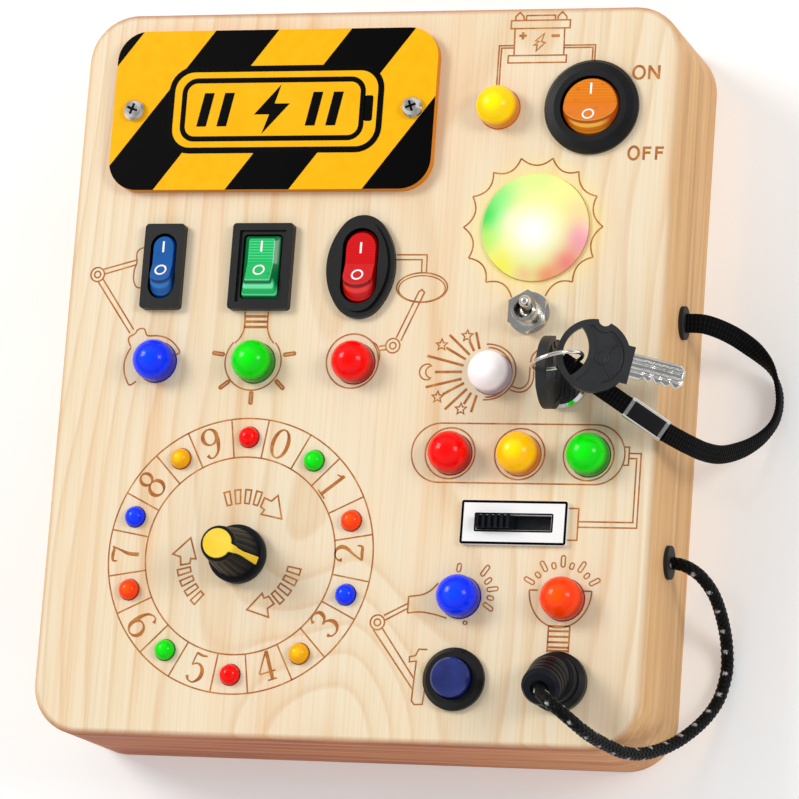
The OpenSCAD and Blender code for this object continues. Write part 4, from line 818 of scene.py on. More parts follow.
# %% Lines of the common width
LINE = 0.36


def thin(*points, closed=False):
    """A line with straight corners."""
    return points, LINE, closed


def soft(*points):
    """A rounded line."""
    return rounded_path(points), LINE, False


def bar(start, stop, width):
    """A straight line of its own width."""
    return [start, stop], width, False


def ring(centre, radius, count=72):
    """A circle or an ellipse."""
    return loop(centre, radius, count), LINE, True


def pivot(x, y):
    """The two small circles of a lamp arm's joint."""
    return ring((x, y), 1.75, 32), ring((x, y), 0.8, 24)


# %% [markdown]
# ## Number dial
# Two circles hold ten narrow cells for the lamps and ten wide ones for the numbers. The figures have
# thick and thin strokes like printed numerals, so each is a few pen strokes whose width is given at
# every point. The figures from 7 round to 1 stand with their heads outward, the others inward.

# %% Pen strokes
def pen(*points):
    """A rounded stroke whose third number is the pen's width."""
    p = rounded_path(points, per_point=8)
    return p[:, :2], p[:, 2], False


def bowl(x, y, rx, ry, thick=0.95, hair=0.36):
    """A closed ring that is thick at its sides and thin at its head and foot."""
    t = np.radians(np.arange(0, 360, 7.5))
    return loop((x, y), (rx, ry), 48), hair + (thick - hair) * np.abs(np.cos(t)) ** 1.6, True


# %% Figures of the dial
six = [pen((1.5, 2.5, 0.85), (1, 3.3, 0.42), (0, 3.35, 0.36), (-1.2, 2.3, 0.6), (-1.75, 0.2, 0.95),
           (-1.7, -1.4, 0.95)),
       bowl(0, -1.5, 1.72, 1.85)]
figures = {
    0: [bowl(0, 0, 1.85, 3.3)],
    1: [pen((0.15, 3.4, 0.8), (0.15, 0, 0.8), (0.15, -3.3, 0.8)),
        pen((-1.2, 2.3, 0.3), (-0.4, 2.65, 0.4), (0.1, 3.3, 0.4)),
        pen((-1.2, -3.3, 0.34), (0.15, -3.3, 0.42), (1.5, -3.3, 0.34))],
    2: [pen((-1.5, 1.7, 0.9), (-1.45, 2.6, 0.45), (-0.4, 3.35, 0.36), (0.9, 3.1, 0.6), (1.6, 2, 0.95),
            (1.2, 0.6, 0.85), (-0.2, -1, 0.55), (-1.7, -3, 0.36)),
        pen((-1.7, -3, 0.5), (0, -3, 0.75), (1.5, -3, 0.6), (1.85, -1.9, 0.3))],
    3: [pen((-1.5, 2.2, 0.9), (-1.1, 3.1, 0.42), (0, 3.35, 0.36), (1.2, 2.8, 0.75), (1.4, 1.8, 0.95),
            (0.9, 0.75, 0.6), (-0.4, 0.3, 0.32)),
        pen((-0.4, 0.3, 0.32), (0.9, 0, 0.45), (1.75, -1.3, 0.98), (1.4, -2.7, 0.8), (0.1, -3.4, 0.36),
            (-1.2, -3, 0.42), (-1.6, -2.1, 0.9))],
    4: [pen((0.8, 3.4, 0.5), (-0.6, 1.1, 0.36), (-2, -1.3, 0.34)),
        pen((-2, -1.45, 0.36), (0, -1.45, 0.4), (2, -1.45, 0.36)),
        pen((0.85, 3.4, 0.85), (0.85, 0, 0.85), (0.85, -3.3, 0.85)),
        pen((-0.3, -3.3, 0.34), (0.85, -3.3, 0.4), (1.9, -3.3, 0.34))],
    5: [pen((1.6, 3.2, 0.36), (0.4, 3, 0.6), (-1.1, 3.2, 0.55)),
        pen((-1.1, 3.3, 0.34), (-1.2, 2, 0.34), (-1.35, 0.3, 0.34)),
        pen((-1.35, 0.3, 0.34), (-0.3, 0.95, 0.42), (0.9, 0.65, 0.7), (1.65, -0.6, 0.98), (1.5, -2.1, 0.85),
            (0.3, -3.35, 0.38), (-1, -3.2, 0.42), (-1.6, -2.3, 0.85))],
    6: six,
    7: [pen((-1.7, 2, 0.3), (-1.5, 3, 0.55), (0, 3.05, 0.8), (1.2, 2.85, 0.6), (1.8, 3.2, 0.34)),
        pen((1.8, 3.2, 0.34), (0.9, 1.2, 0.5), (0.1, -0.8, 0.85), (-0.1, -3.2, 0.95))],
    8: [bowl(0, 1.8, 1.35, 1.5, 0.8), bowl(0, -1.55, 1.75, 1.8)],
    9: [(-p, w, c) for p, w, c in six]}

# %% Circles, cells and figures
dial_centre = np.array([-25.3, -45.2])
dial_in, dial_out = 23.8, 33.2
cell_turn = 8.2
figure_at = {0: (-17.3, -18.1), 1: (-3.5, -27.8), 2: (2, -44.2), 3: (-2.8, -61.1), 4: (-16.5, -71.5),
             5: (-33.8, -72.3), 6: (-48.6, -62.3), 7: (-54.2, -45.4), 8: (-49, -28.3), 9: (-34.8, -18.2)}
heads_out = (7, 8, 9, 0, 1)
lines = [ring(dial_centre, dial_out, 144), ring(dial_centre, dial_in, 120)]
for k in range(10):
    for turn in (-cell_turn, cell_turn):
        ray = towards(90 - 36 * k + turn)
        lines.append((dial_centre + np.outer([dial_in, dial_out], ray), LINE, False))
for digit, at in figure_at.items():
    x, y = np.array(at) - dial_centre
    outward = np.degrees(np.arctan2(y, x))
    upright = turned_by(outward - 90 if digit in heads_out else outward + 90)
    lines += [(p * (1.02, 1.05) @ upright + at, w, c) for p, w, c in figures[digit]]

# %% Arrows round the knob
# Each corner is a radius and an angle in degrees: four cells and a head, three times round.
cells = [[(15.9, a - 2.6), (15.9, a + 2.6), (12.6, a + 2.6), (12.6, a - 2.6)]
         for a in (106.5, 96.5, 86.5, 76.5)]
head = [(14.9, 70), (14.9, 62.5), (16.9, 60), (13.3, 42.5), (11, 65.5), (12.3, 64.5), (12.6, 70)]
for turn in (0, -120, -240):
    for shape in cells + [head]:
        r, a = np.array(shape, float).T
        lines.append((dial_centre + towards(a + turn, r), 0.4, True))
dial_drawing = draw("dial_drawing", lines)

# %% [markdown]
# ## Drawings of lamps and wires
# Round every lamp there is a small line drawing that turns it into something: a desk lamp, a bulb, a
# spot light, the sun, a night sky, a traffic light. Wires join them to their switches.

# %% Desk lamp
lines = [
    soft((-55.2, 30.1), (-56.7, 29.9), (-57.7, 29.2), (-58, 28.1), (-57.8, 26.3), (-58.3, 24.3),
         (-58.2, 21.8), (-57.3, 20.2), (-55.2, 19.9)),
    thin((-66.3, 24.6), (-58, 26.9)), thin((-66, 23.4), (-58, 25.7)), *pivot(-67.7, 23.3),
    thin((-66.3, 22.3), (-57.1, 9.6)), thin((-67.4, 21.5), (-58, 8.7)),
    soft((-57.5, 5.4), (-58.2, 6.9), (-58, 7.8), (-56.7, 8.6), (-56.1, 9.5), (-55.2, 9.9), (-54.3, 9.7),
         (-53.6, 8.3), (-52.6, 8.1), (-50.5, 8.1), (-48.5, 7.6), (-46.9, 6.7), (-45.6, 5.4), (-44.8, 4.1),
         (-45.8, 3.4)),
    soft((-57.4, 5.2), (-58.3, 3.4), (-58.8, 1.3), (-58.6, -1), (-57.8, -3), (-56.9, -4.1), (-55.4, -3.2))]

# %% Bulb
lines += [
    soft((-28.9, 14.2), (-28.8, 10.2), (-29.6, 7.9), (-30.9, 6.4)),
    soft((-23, 14.2), (-22.9, 10.2), (-22.1, 7.9), (-21, 6.4)),
    (arc((-25.9, 1.9), (7.1, 7), 42, -222, 72), LINE, False)]
lines += [bar((-28.8, y), (-22.95, y), 0.62) for y in (13, 11.7, 10.4)]
bulb_rays = (
    ((-34.8, 3.8), 172), ((-16.8, 3.8), 8), ((-32.7, -3.8), 38), ((-18.7, -3.7), -45), ((-25.7, -7), 90))
lines += [(pill(at, 2.9, 0.62, angle), 0.5, True) for at, angle in bulb_rays]

# %% Spot light
lines += [
    thin((8.2, 28.2), (15.8, 28.2), (15.9, 23.7)), thin((8.2, 27), (14.6, 27), (14.7, 23.9)),
    ring((15.1, 20.2), (6.3, 3.6)), (loop((15.1, 19.9), (5.8, 3.2)), LINE * 0.8, True),
    thin((9.6, 7.9), (14.4, 19.2), (15.1, 19.7), (15.8, 19), (10.8, 7.2)), *pivot(8.9, 6),
    thin((7.2, 6.1), (5.5, 5.8)), thin((7.4, 5.1), (5.6, 4.8)), ring((-0.9, 2.2), (6.5, 6.6)),
    soft((3.6, 6.9), (4.8, 6.2), (5.7, 4.4), (5.8, 2.8), (5.4, 1.9))]
lamp_drawings = draw("lamp_drawings", lines)

# %% Battery
lines = [
    thin((33.6, 85.8), (33.6, 86.8), (34.6, 87.8), (35.6, 86.8), (35.7, 85.8)),
    thin((36.2, 85.8), (36.3, 87), (43.4, 87), (43.5, 85.8)),
    thin((44.1, 85.8), (44.1, 86.8), (45.1, 87.8), (46.2, 86.7), (46.3, 85.8)),
    thin((32.6, 85.8), (47.2, 85.8), (47.2, 83.8), (32.6, 83.8), closed=True),
    thin((33.6, 83.8), (33.8, 77.1)), thin((45.9, 83.8), (46.1, 77.1)),
    thin((32.4, 77.1), (46.8, 77.1), (46.8, 75.3), (32.4, 75.3), closed=True),
    thin((33.7, 79.6), (30, 79.6), (30, 69.4)), thin((33.7, 79), (30.6, 79), (30.6, 69.4)),
    thin((46.1, 79.5), (53.8, 79.5), (53.8, 75.2)), thin((46.1, 78.9), (53.2, 78.9), (53.2, 75.2)),
    thin((41, 82.5), (38.9, 80.7), (39.8, 80.5), (38.5, 79.6), (39.4, 79.7), (39.2, 78.2), (41.3, 80.2),
         (40.4, 80.5), closed=True),
    bar((34.8, 82), (36.6, 82), 0.6), bar((35.7, 82.9), (35.7, 81.1), 0.6),
    bar((42.8, 81.9), (44.8, 81.9), 0.7)]


# %% Sun round its lens
def bowed(start, stop):
    """A line that leans towards the sun's middle, most at half way: by a tenth of the way there."""
    a = np.array(start)
    b = np.array(stop)
    t = np.linspace(0, 1, 11)[:, None]
    pull = (np.array(sun_centre[:2]) - (a + b) / 2) * 0.1
    return a + (b - a) * t + pull * (4 * t * (1 - t)), LINE, False


tips = [(58.5, 35), (56.6, 42.4), (51.8, 48.4), (45.2, 51.7), (37.4, 51.7), (30.8, 48.3), (26.1, 42.4),
        (24.3, 34.9), (26.1, 27.4), (30.8, 21.5), (37.4, 17.8)]
right_tips = [(58.5, 35), (56.6, 27.6), (52, 21.6), (45.6, 18.2)]
for a, b in [*zip(tips, tips[1:]), *zip(right_tips, right_tips[1:])]:
    lines.append(bowed(a, b))

# %% Night sky
lines += [
    (arc((32.6, -0.2), (7.1, 6.7), 94, -94), LINE, False),
    (arc((32.6, -0.3), (6.1, 6), 90, -90), LINE, False),
    soft((38.6, -4.5), (40.9, -5), (42.8, -4.3), (44, -2.2), (44, 1.4), (44.3, 3.2), (45.3, 4.3)),
    soft((39, -3.6), (40.9, -4.1), (42.2, -3.5), (43, -2), (43.1, 1.6), (43.4, 3.7), (44.6, 5.1))]
rays = [  # far end, near end, and whether a star stands beyond it
    ((29.3, 9.4), (30.4, 5.3), False), ((27.8, 7.3), (29.1, 4.8), True), ((22.8, 8.7), (28.1, 3.9), False),
    ((22.2, 5.6), (27.2, 2.8), True), ((17.7, 3.6), (26.8, 1.3), False), ((19.8, -0.3), (26.5, -0.2), False),
    ((17.8, -4), (26.5, -1.9), False), ((22.1, -5.7), (27.2, -2.9), True), ((22.9, -9.3), (28, -4.3), False),
    ((27.5, -8), (29.1, -5.2), True), ((29.4, -9.9), (30.5, -5.8), False)]
points_of_star = np.arange(10)
for far, near, star in rays:
    lines.append(bar(far, near, 0.62))
    if star:
        at = np.array(far) + unit(np.array(far) - near) * 1.35
        reach = np.where(points_of_star % 2, 0.65, 1.45)
        lines.append((at + towards(points_of_star * 36 + 90, reach), 0.34, True))
moon = np.vstack([arc((17.9, -0.3), 1.9, 70, 290, 24), arc((19, -0.3), 1.45, 262, 98, 18)])
lines.append((moon, 0.34, True))
sky_drawings = draw("sky_drawings", lines)

# %% Traffic light
frame_line = np.vstack([arc((60.3, -19.7), 7.1, -90, 90), arc((22.6, -19.7), 7.1, 90, 270)])
lines = [(frame_line, LINE, True)]
lines += [ring((x, -19.8), 6.1) for x in (25, 42, 58.7)]
lines += [
    thin((67, -17.8), (68.4, -17.8), (68.4, -22.1), (67, -22.1)),
    thin((68.4, -19.3), (71.3, -19.3), (71.3, -36.9), (57.2, -36.9)),
    thin((68.4, -20.5), (70.3, -20.5), (70.3, -35.6), (57.2, -35.6)),
    thin((54.8, -32.5), (57.2, -32.5), (57.2, -40), (54.8, -40))]

# %% Reading lamp
lines += [
    soft((24.4, -50.8), (22.6, -52.6), (20.6, -53.6), (17.4, -54.1)), thin((17.4, -54.1), (17.4, -58)),
    soft((17.4, -58), (20.6, -57.7), (24, -58.2), (27, -59)),
    thin((17.2, -55.8), (11.7, -58.7)), thin((17.2, -57), (12.1, -59.8)), *pivot(10.2, -60.4),
    thin((9.2, -62), (20, -76)), thin((11.3, -61.5), (20.1, -73.4)),
    thin((22.9, -66.5), (20.8, -66.5), (20.1, -68), (18.7, -68.3), (18.7, -69.5), (20.4, -69.3),
         (19.9, -78.6), (20.6, -79.5), (22.6, -79.4), (22.8, -77.4), (22.9, -75.8))]
reading_rays = (
    ((35.6, -47.6), 2.9, 55), ((36.5, -50), 1.9, 40), ((37.7, -51.9), 2.7, 8), ((37.3, -54), 1.6, -15),
    ((36.9, -56.1), 2.7, -35), ((29.2, -47), 2, 84), ((31.6, -60), 0.8, 80))
lines += [(pill(at, length, 0.95, angle), 0.32, True) for at, length, angle in reading_rays]

# %% Torch bulb
for k, angle in enumerate(np.linspace(152, 28, 9)):
    far, length = (8.1, 1.5) if k % 2 else (8.9, 2.7)
    at = np.array([54.3, -53.9]) + towards(angle, far)
    lines.append((pill(at, length, 0.95, angle), 0.32, True))
lines += [
    (arc((54.1, -51.9), (7.5, 8.7), 180, 360), LINE, False), thin((46.6, -51.9), (48.6, -51.9)),
    thin((59.6, -51.9), (61.6, -51.9)), thin((51.8, -60.2), (51.8, -66.4)),
    thin((56.9, -60.2), (56.9, -66.4)), thin((51.8, -60.2), (56.9, -60.2))]
lines += [bar((51.8, y), (56.9, y), 0.5) for y in (-61.4, -62.7, -64, -65.2, -66)]
board_drawings = draw("board_drawings", lines)
print("lines round the lower lamps:", len(lines))

# %% [markdown]
# ## Words and marks
# ON and OFF stand beside the round rocker in plain capitals. The rocker caps carry a white I and O:
# the I lies on the pressed half, which is level, and the O on the lifted half, which slopes, so each
# mark is drawn flat and then laid on its own plane.

# %% ON and OFF
def letters(word, left, foot, height, width, gap, pen_w):
    """Plain capitals as strokes: an ellipse for O, three lines for N, F from a stem and two arms."""
    made = []
    x = left
    top = foot + height
    for letter in word:
        if letter == "O":
            made.append((loop((x + width / 2, foot + height / 2), (width / 2, height / 2), 40), pen_w, True))
            x += width + gap
        elif letter == "N":
            right = x + width * 0.86
            made += [bar((x, foot - 0.15), (x, top + 0.15), pen_w),
                     bar((right, foot - 0.15), (right, top + 0.15), pen_w),
                     bar((x, top), (right, foot), pen_w)]
        else:
            arm_y = top - pen_w / 2
            middle_y = foot + height * 0.52
            made += [bar((x, foot - 0.15), (x, top), pen_w),
                     bar((x - pen_w / 2, arm_y), (x + width * 0.72, arm_y), pen_w),
                     bar((x, middle_y), (x + width * 0.64, middle_y), pen_w)]
            x += width * 0.72 + gap
    return made


on_word = letters("ON", left=63.5, foot=71.0, height=3.1, width=2.75, gap=1.15, pen_w=0.62)
off_word = letters("OFF", left=63.6, foot=51.3, height=3.1, width=2.45, gap=1.25, pen_w=0.6)
words = draw("on_off_words", on_word + off_word)

# %% White marks on the rocker caps
def on_cap(centre, lifted):
    """Lays points on a cap: the pressed half is level, and the lifted half rises by tan(2 * half_turn)."""
    def place(p):
        rise = np.maximum(crest_y - p[:, 1], 0) * np.tan(2 * half_turn) * lifted
        return np.column_stack([p + centre, level_z + 0.03 + rise + 0.02 * lifted])
    return place


marks = {  # body: how far the I and the O lie along the cap, and the slot
    "slim_rocker": (4.7, -1.2, "blue_cap"), "square_rocker": (4.8, -1.2, "green_cap"),
    "oval_rocker": (4.4, -2.5, "red_cap"), "round_rocker": (4.2, -2.4, "amber_cap")}
for body, (on_y, off_y, slot) in marks.items():
    centre = cap_shapes[body][0]
    stick = bar((0, on_y - 1.35), (0, on_y + 1.35), 0.5)
    circle = (loop((0, off_y), (1.3, 1.2), 40), 0.42, True)
    for name, line, lifted in (("_mark_on", stick, 0), ("_mark_off", circle, 1)):
        mark = draw(body + name, [line], place=on_cap(centre, lifted))
        belong(mark, ink_white, body, slot)

# %% [markdown]
# ## Sign and switch print
# The middle of the plate carries a plain battery sign lying on its side, with a flash between slanting charge
# bars. A clear yellow field keeps the stripes away from it. The slide switch's plate has a thin black
# outline, and the sockets of the two screws get dark crosses of painted shade.

# %% Sign on the plate
sign_x = -25.3
sign_y = 63.8
plate_top = 38.5
outer_slab = slab(0.6, 0, 53.4, 20.4, 5.5)
field = draw("sign_field", fills=[outer_slab], place=flat_at(plate_top + 0.02, sign_x, sign_y))
flash = [(0.5, 1.4), (4.4, 1.4), (-2.3, -6.2), (-0.7, -1.3), (-4.6, -1.3), (1.9, 6.2)]
bars = [[(x - 1.6, -4.2), (x + 0.9, -4.2), (x + 2.5, 4.2), (x, 4.2)] for x in (-17.6, -12.4, 10.2, 15.4)]
sign = draw("sign_print", [(slab(0, 0, 45.6, 14.6, 3.2), 1.3, True), (outer_slab, 1.5, True)],
            [flash, slab(24.4, 0, 2.2, 6.4, 0.6)] + bars, flat_at(plate_top + 0.04, sign_x, sign_y))

# %% Outline of the slide switch, and painted shade in the sockets of the screws
slide_plate_top = 37.2
screw_top = plate_top + 1.7
outline = [(slab(42, -36.3, 25.1, 9.8, 0.3), 0.6, True), (slab(42, -36.3, 18.7, 4.1, 0.2), 0.4, True)]
slide_outline = draw("slide_switch_outline", outline, place=flat_at(slide_plate_top + 0.02))
crosses = []
for from_middle, turn in ((-35.5, -20), (35.5, 20)):
    at = np.array([sign_x + from_middle, sign_y])
    for angle in (turn, turn + 90):
        crosses.append(bar(at - towards(angle, 1.35), at + towards(angle, 1.35), 0.58))
sockets = draw("screw_socket_shade", crosses, place=flat_at(screw_top + 0.02))

# %% Materials and bodies of the drawings
for piece in (dial_drawing, lamp_drawings, sky_drawings, board_drawings, words):
    belong(piece, burnt, "case", "pine")
belong(field, ink_yellow, "case", "sign_acrylic")
belong(sign, black_ink_and_painted_shade, "case", "sign_acrylic")
belong(slide_outline, black_ink_and_painted_shade, "case", "black_plastic")
belong(sockets, black_ink_and_painted_shade, "case", "nickel")

# %% [markdown]
# ## Keys
# A key blade is milled from flat stock: two grooves run its length, and the cuts are filed into one
# edge. The spare key's blade shows all of that, so it is one surface: across the blade its thickness
# dips in each groove, and along the blade its lower edge steps in at each cut.

# %% Where the keys are
lock_at = np.array([51.3, -2.7])
ring_z = 55.3
neck_z = 38.5
head_r = 8.5
head_y = 9.0
rim = 1.4
ring_turn = 16
spare_tilt = np.radians(18)
spare_yaw = -11
spare_side = 3.6
hang_out = 3.9
hang_down = 3.1


def on_ring(p):
    """From a key's own axes (across, thickness, up) to where it hangs on the ring, tilted and turned."""
    reach = np.sqrt((head_r - rim / 2) ** 2 - spare_side ** 2)
    out = -p[:, 2] + reach + head_y
    up = -p[:, 1]
    x = out * np.cos(spare_tilt) + up * np.sin(spare_tilt)
    y = p[:, 0] + spare_side
    z = up * np.cos(spare_tilt) - out * np.sin(spare_tilt)
    level_turn = np.column_stack([x, y]) @ turned_by(spare_yaw)
    return np.column_stack([level_turn, z]) + [*(lock_at + towards(ring_turn, hang_out)), ring_z - hang_down]


def in_lock(p):
    """From a key's own axes to where it stands in the lock, turned a quarter turn."""
    return np.column_stack([-p[:, 1] + lock_at[0], p[:, 0] + lock_at[1], p[:, 2] + neck_z])


# %% Grooved blade of the spare key
def blade_surface(rows=90, half=26):
    """x is across, y the thickness and z along. The edge x0 steps in by a V at each cut, both edges draw
    in at the tip, and the half thickness is 0.8 less two bell-shaped grooves."""
    z = np.linspace(0.6, -12.5, rows)[:, None]
    depths = ((3.4, 0.7), (5.5, 1.15), (7.6, 0.6), (9.8, 1.0))
    cuts = sum(d * np.clip(1 - np.abs(z + c) / 0.95, 0, 1) for c, d in depths)
    tip = np.clip(-z - 11.1, 0, None)
    x0 = -2.9 + cuts + 1.1 * tip
    x1 = 2.9 - 0.9 * tip
    x = x0 + (x1 - x0) * np.linspace(0, 1, half)[None, :]
    grooves = sum(np.exp(-((x - centre) / 0.5) ** 4) for centre in (1.35, -0.75))
    bevels = np.clip(1 - (x - x0) / 0.4, 0, 1) + np.clip(1 - (x1 - x) / 0.3, 0, 1)
    thick = 0.8 - 0.34 * grooves - 0.25 * bevels
    thick = thick * (1 - 0.45 * np.clip(-z - 12.0, 0, None) / 0.5)
    round_x = np.hstack([x[:, ::-1], x])
    round_y = np.hstack([thick[:, ::-1], -thick])
    points = np.stack([round_x, round_y, np.broadcast_to(z, round_x.shape)], -1).reshape(-1, 3)
    return points, tube_faces(rows, 2 * half)


points, faces = blade_surface()
blade = add_piece("spare_key_grooved_blade", on_ring(points), faces, round_shading=False)
belong(blade, nickel, "key_set", "nickel", "spare_key_blade")
print("blade faces:", len(faces))

# %% [markdown]
# ## Relief on the key heads
# A moulded key head has thin ridges standing in its sunk field. They are half-round beads swept along
# arcs, the same on both faces of both keys.

# %% Ridges on the key heads
def bead(path, radius, columns=12):
    """A closed bead with a round section, swept along a path in a key's axes; its ends taper to points."""
    run = np.linspace(0, 1, len(path))
    size = radius * np.clip(np.minimum(run, 1 - run) / 0.05, 0.12, 1) ** 0.5
    angle = around(columns)[..., None]
    first = unit(np.cross(unit(np.gradient(path, axis=0)), [0.0, 1.0, 0.0]))
    second = np.cross(unit(np.gradient(path, axis=0)), first)
    round_it = np.cos(angle) * first[:, None] + np.sin(angle) * second[:, None]
    points = path[:, None] + size[:, None, None] * round_it
    return points.reshape(-1, 3), tube_faces(len(path), columns)


face_y = 0.86
ridges = [arc((0, head_y - 7.4), 4.6, 20, 160, 40), arc((0, head_y - 0.4), 6.2, 205, 335, 48),
          arc((0, head_y - 2.0), 1.5, 0, 350, 36)]
for name, place, body in (("key_head_relief", in_lock, "key"), ("spare_key_head_relief", on_ring, "key_set")):
    points = []
    faces = []
    for y in (-face_y, face_y):
        for ridge in ridges:
            path = np.column_stack([ridge[:, 0], np.full(len(ridge), y), ridge[:, 1]])
            p, f = bead(path, 0.2)
            before = sum(map(len, points))
            points.append(p)
            faces += [[k + before for k in face] for face in f]
    relief = add_piece(name, place(np.vstack(points)), faces)
    belong(relief, key_black, body, "key_plastic")

# %% [markdown]
# ## Strap end
# The webbing ends in a pressed metal ferrule, and a dark pillow on each of its faces paints the dark
# reflection in its plating. Beyond it a folded tab of the same webbing runs to the key ring. The tab is one
# ribbon that goes out, round the ring and back, so its path is a long hairpin.

# %% Axes of the strap's end
ferrule_start = np.array(strap_route[-1], float)
foot_out = 4.9
foot_down = np.sqrt(35.0)
ring_foot = np.array([*(lock_at + towards(ring_turn, foot_out)), ring_z - foot_down])
strap_dir = unit(ring_foot - ferrule_start)
strap_side = unit(np.array([-strap_dir[1], strap_dir[0], 0.0]))
strap_up = np.cross(strap_dir, strap_side)
reach = float(np.linalg.norm(ring_foot - ferrule_start))
print("ring is %.1f mm from the ferrule's start" % reach)


def along_strap(p):
    """From x along the strap's end, y across it and z out of its face, to the board's axes."""
    return ferrule_start + p[:, :1] * strap_dir + p[:, 1:2] * strap_side + p[:, 2:3] * strap_up


# %% Folded tab round the ring
out_leg = [(9.6, -0.5), (13.0, -0.5), (17.0, -0.52), (21.0, -0.62), (reach - 2.95, -0.95),
           (reach - 0.55, -1.05), (reach + 1.05, -0.75)]
back_leg = [(x, -z) for x, z in out_leg[::-1]]
hairpin = [(x, 0, z) for x, z in out_leg + [(reach + 1.65, 0)] + back_leg]
tab_path = along_strap(rounded_path(hairpin, step=0.16))
tab_across = np.broadcast_to(strap_side, tab_path.shape)
tab = swept("strap_folded_tab", tab_path, tab_across, lambda run: webbing_section(run, 4.4, 0.85))
belong(tab, webbing, "key_set", "webbing", "strap_loop")


# %% Dark panels of the ferrule, a painted reflection
def panel(length, width, height, middle, face_side, rows=34, columns=22):
    """A low pillow: its height falls off as one minus the eighth power of the way to its edge, both ways."""
    u, v = np.meshgrid(np.linspace(-1, 1, rows), np.linspace(-1, 1, columns), indexing="ij")
    rise = height * (1 - u ** 8) * (1 - v ** 8)
    points = np.stack([middle + length / 2 * u, width / 2 * v, face_side * (1.19 + rise)], -1).reshape(-1, 3)
    faces = grid_faces(rows, columns, False)
    return along_strap(points), (faces if face_side < 0 else faces[:, ::-1])


panel_shape = {"length": 8.7, "width": 4.1, "height": 0.09, "middle": 5.15}
up_points, up_faces = panel(**panel_shape, face_side=1)
down_points, down_faces = panel(**panel_shape, face_side=-1)
ferrule_painted_reflection = add_piece("strap_ferrule_panels", np.vstack([up_points, down_points]),
                           np.vstack([up_faces, down_faces + len(up_points)]))
# The black of the bezels paints the ferrule's dark reflection.
belong(ferrule_painted_reflection, nylon_black, "key_set", "nickel")

# %% [markdown]
# ## Threads
# The toggle's bushing is threaded for its nut. A fine thread at this size is one surface round the
# bushing whose radius follows a triangle wave that climbs one pitch in each turn.

# %% Thread of the toggle's bushing
def thread(centre, radius, low, high, thread_pitch, depth, columns=48):
    """The radius is the bushing's plus the depth times a triangle wave of (height / pitch - angle / turn)."""
    z = np.arange(low, high + 1e-6, thread_pitch / 8)[:, None]
    angle = around(columns)
    phase = (z / thread_pitch - angle / (2 * np.pi)) % 1
    fade = np.clip(np.minimum(z - low, high - z) / (thread_pitch / 2), 0, 1)
    r = radius + 0.02 + depth * fade * (1 - np.abs(2 * phase - 1))
    x = centre[0] + r * np.cos(angle)
    y = centre[1] + r * np.sin(angle)
    points = np.stack([x, y, np.broadcast_to(z, r.shape)], -1)
    return points.reshape(-1, 3), grid_faces(len(z), columns, True)


bushing_thread = add_piece("toggle_bushing_thread", *thread(
    centre=(42, 14), radius=3.0, low=38.62, high=41.3, thread_pitch=0.5, depth=0.14))
belong(bushing_thread, nickel, "case", "nickel")

# %% [markdown]
# ## Knob of the dial
# Fine flutes run up the knob's cone from its skirt, for the fingers. The body is one outline turned
# round, and a cosine of the angle draws it in between the flutes. The pointer is a coin with a tail: it
# lies on the top, bends over the edge, runs down the cone and widens again at its foot.

# %% Fluted knob
knob_foot_z = 36.0
skirt_h = 3.4
knob_h = 16.0
knob_r = 7.0
knob_top_r = 4.3


def fluted_knob(columns=216, flutes=18, depth=0.32):
    """Circles up the outline. On the cone the radius is less by depth * (1 - |cos(flutes/2 * a)|)^1.4, and
    the depth fades out over the last millimetre at both ends of the cone."""
    up = np.linspace(0, 1, 25)
    cone_r = knob_r - 1 + (knob_top_r - knob_r + 1) * up
    cone = np.stack([cone_r, skirt_h + (knob_h - 0.5 - skirt_h) * up], -1)
    skirt = [(6.6, 0.4), (6.95, 0.55), (knob_r, 0.9), (knob_r, 2.8), (6.85, 3.1), (6.5, 3.3)]
    top_edge = [(4.22, 15.75), (4.08, 15.93), (3.85, knob_h)]
    r, z = np.vstack([skirt, cone, top_edge]).T[:, :, None]
    a = around(columns)
    fade = np.clip((z - skirt_h - 0.1) / 1.0, 0, 1) * np.clip((knob_h - 0.9 - z) / 0.6, 0, 1)
    r = r - depth * fade * (1 - np.abs(np.cos(flutes / 2 * a))) ** 1.4
    x = dial_centre[0] + r * np.cos(a)
    y = dial_centre[1] + r * np.sin(a)
    points = np.stack([x, y, knob_foot_z + z + 0 * a], -1).reshape(-1, 3)
    piece = add_piece("dial_knob_fluted", points, tube_faces(len(z), columns))
    piece.data.set_sharp_from_angle(angle=np.radians(38))
    return piece


knob = fluted_knob()
belong(knob, abs_black, "dial", "black_plastic", "dial_knob")

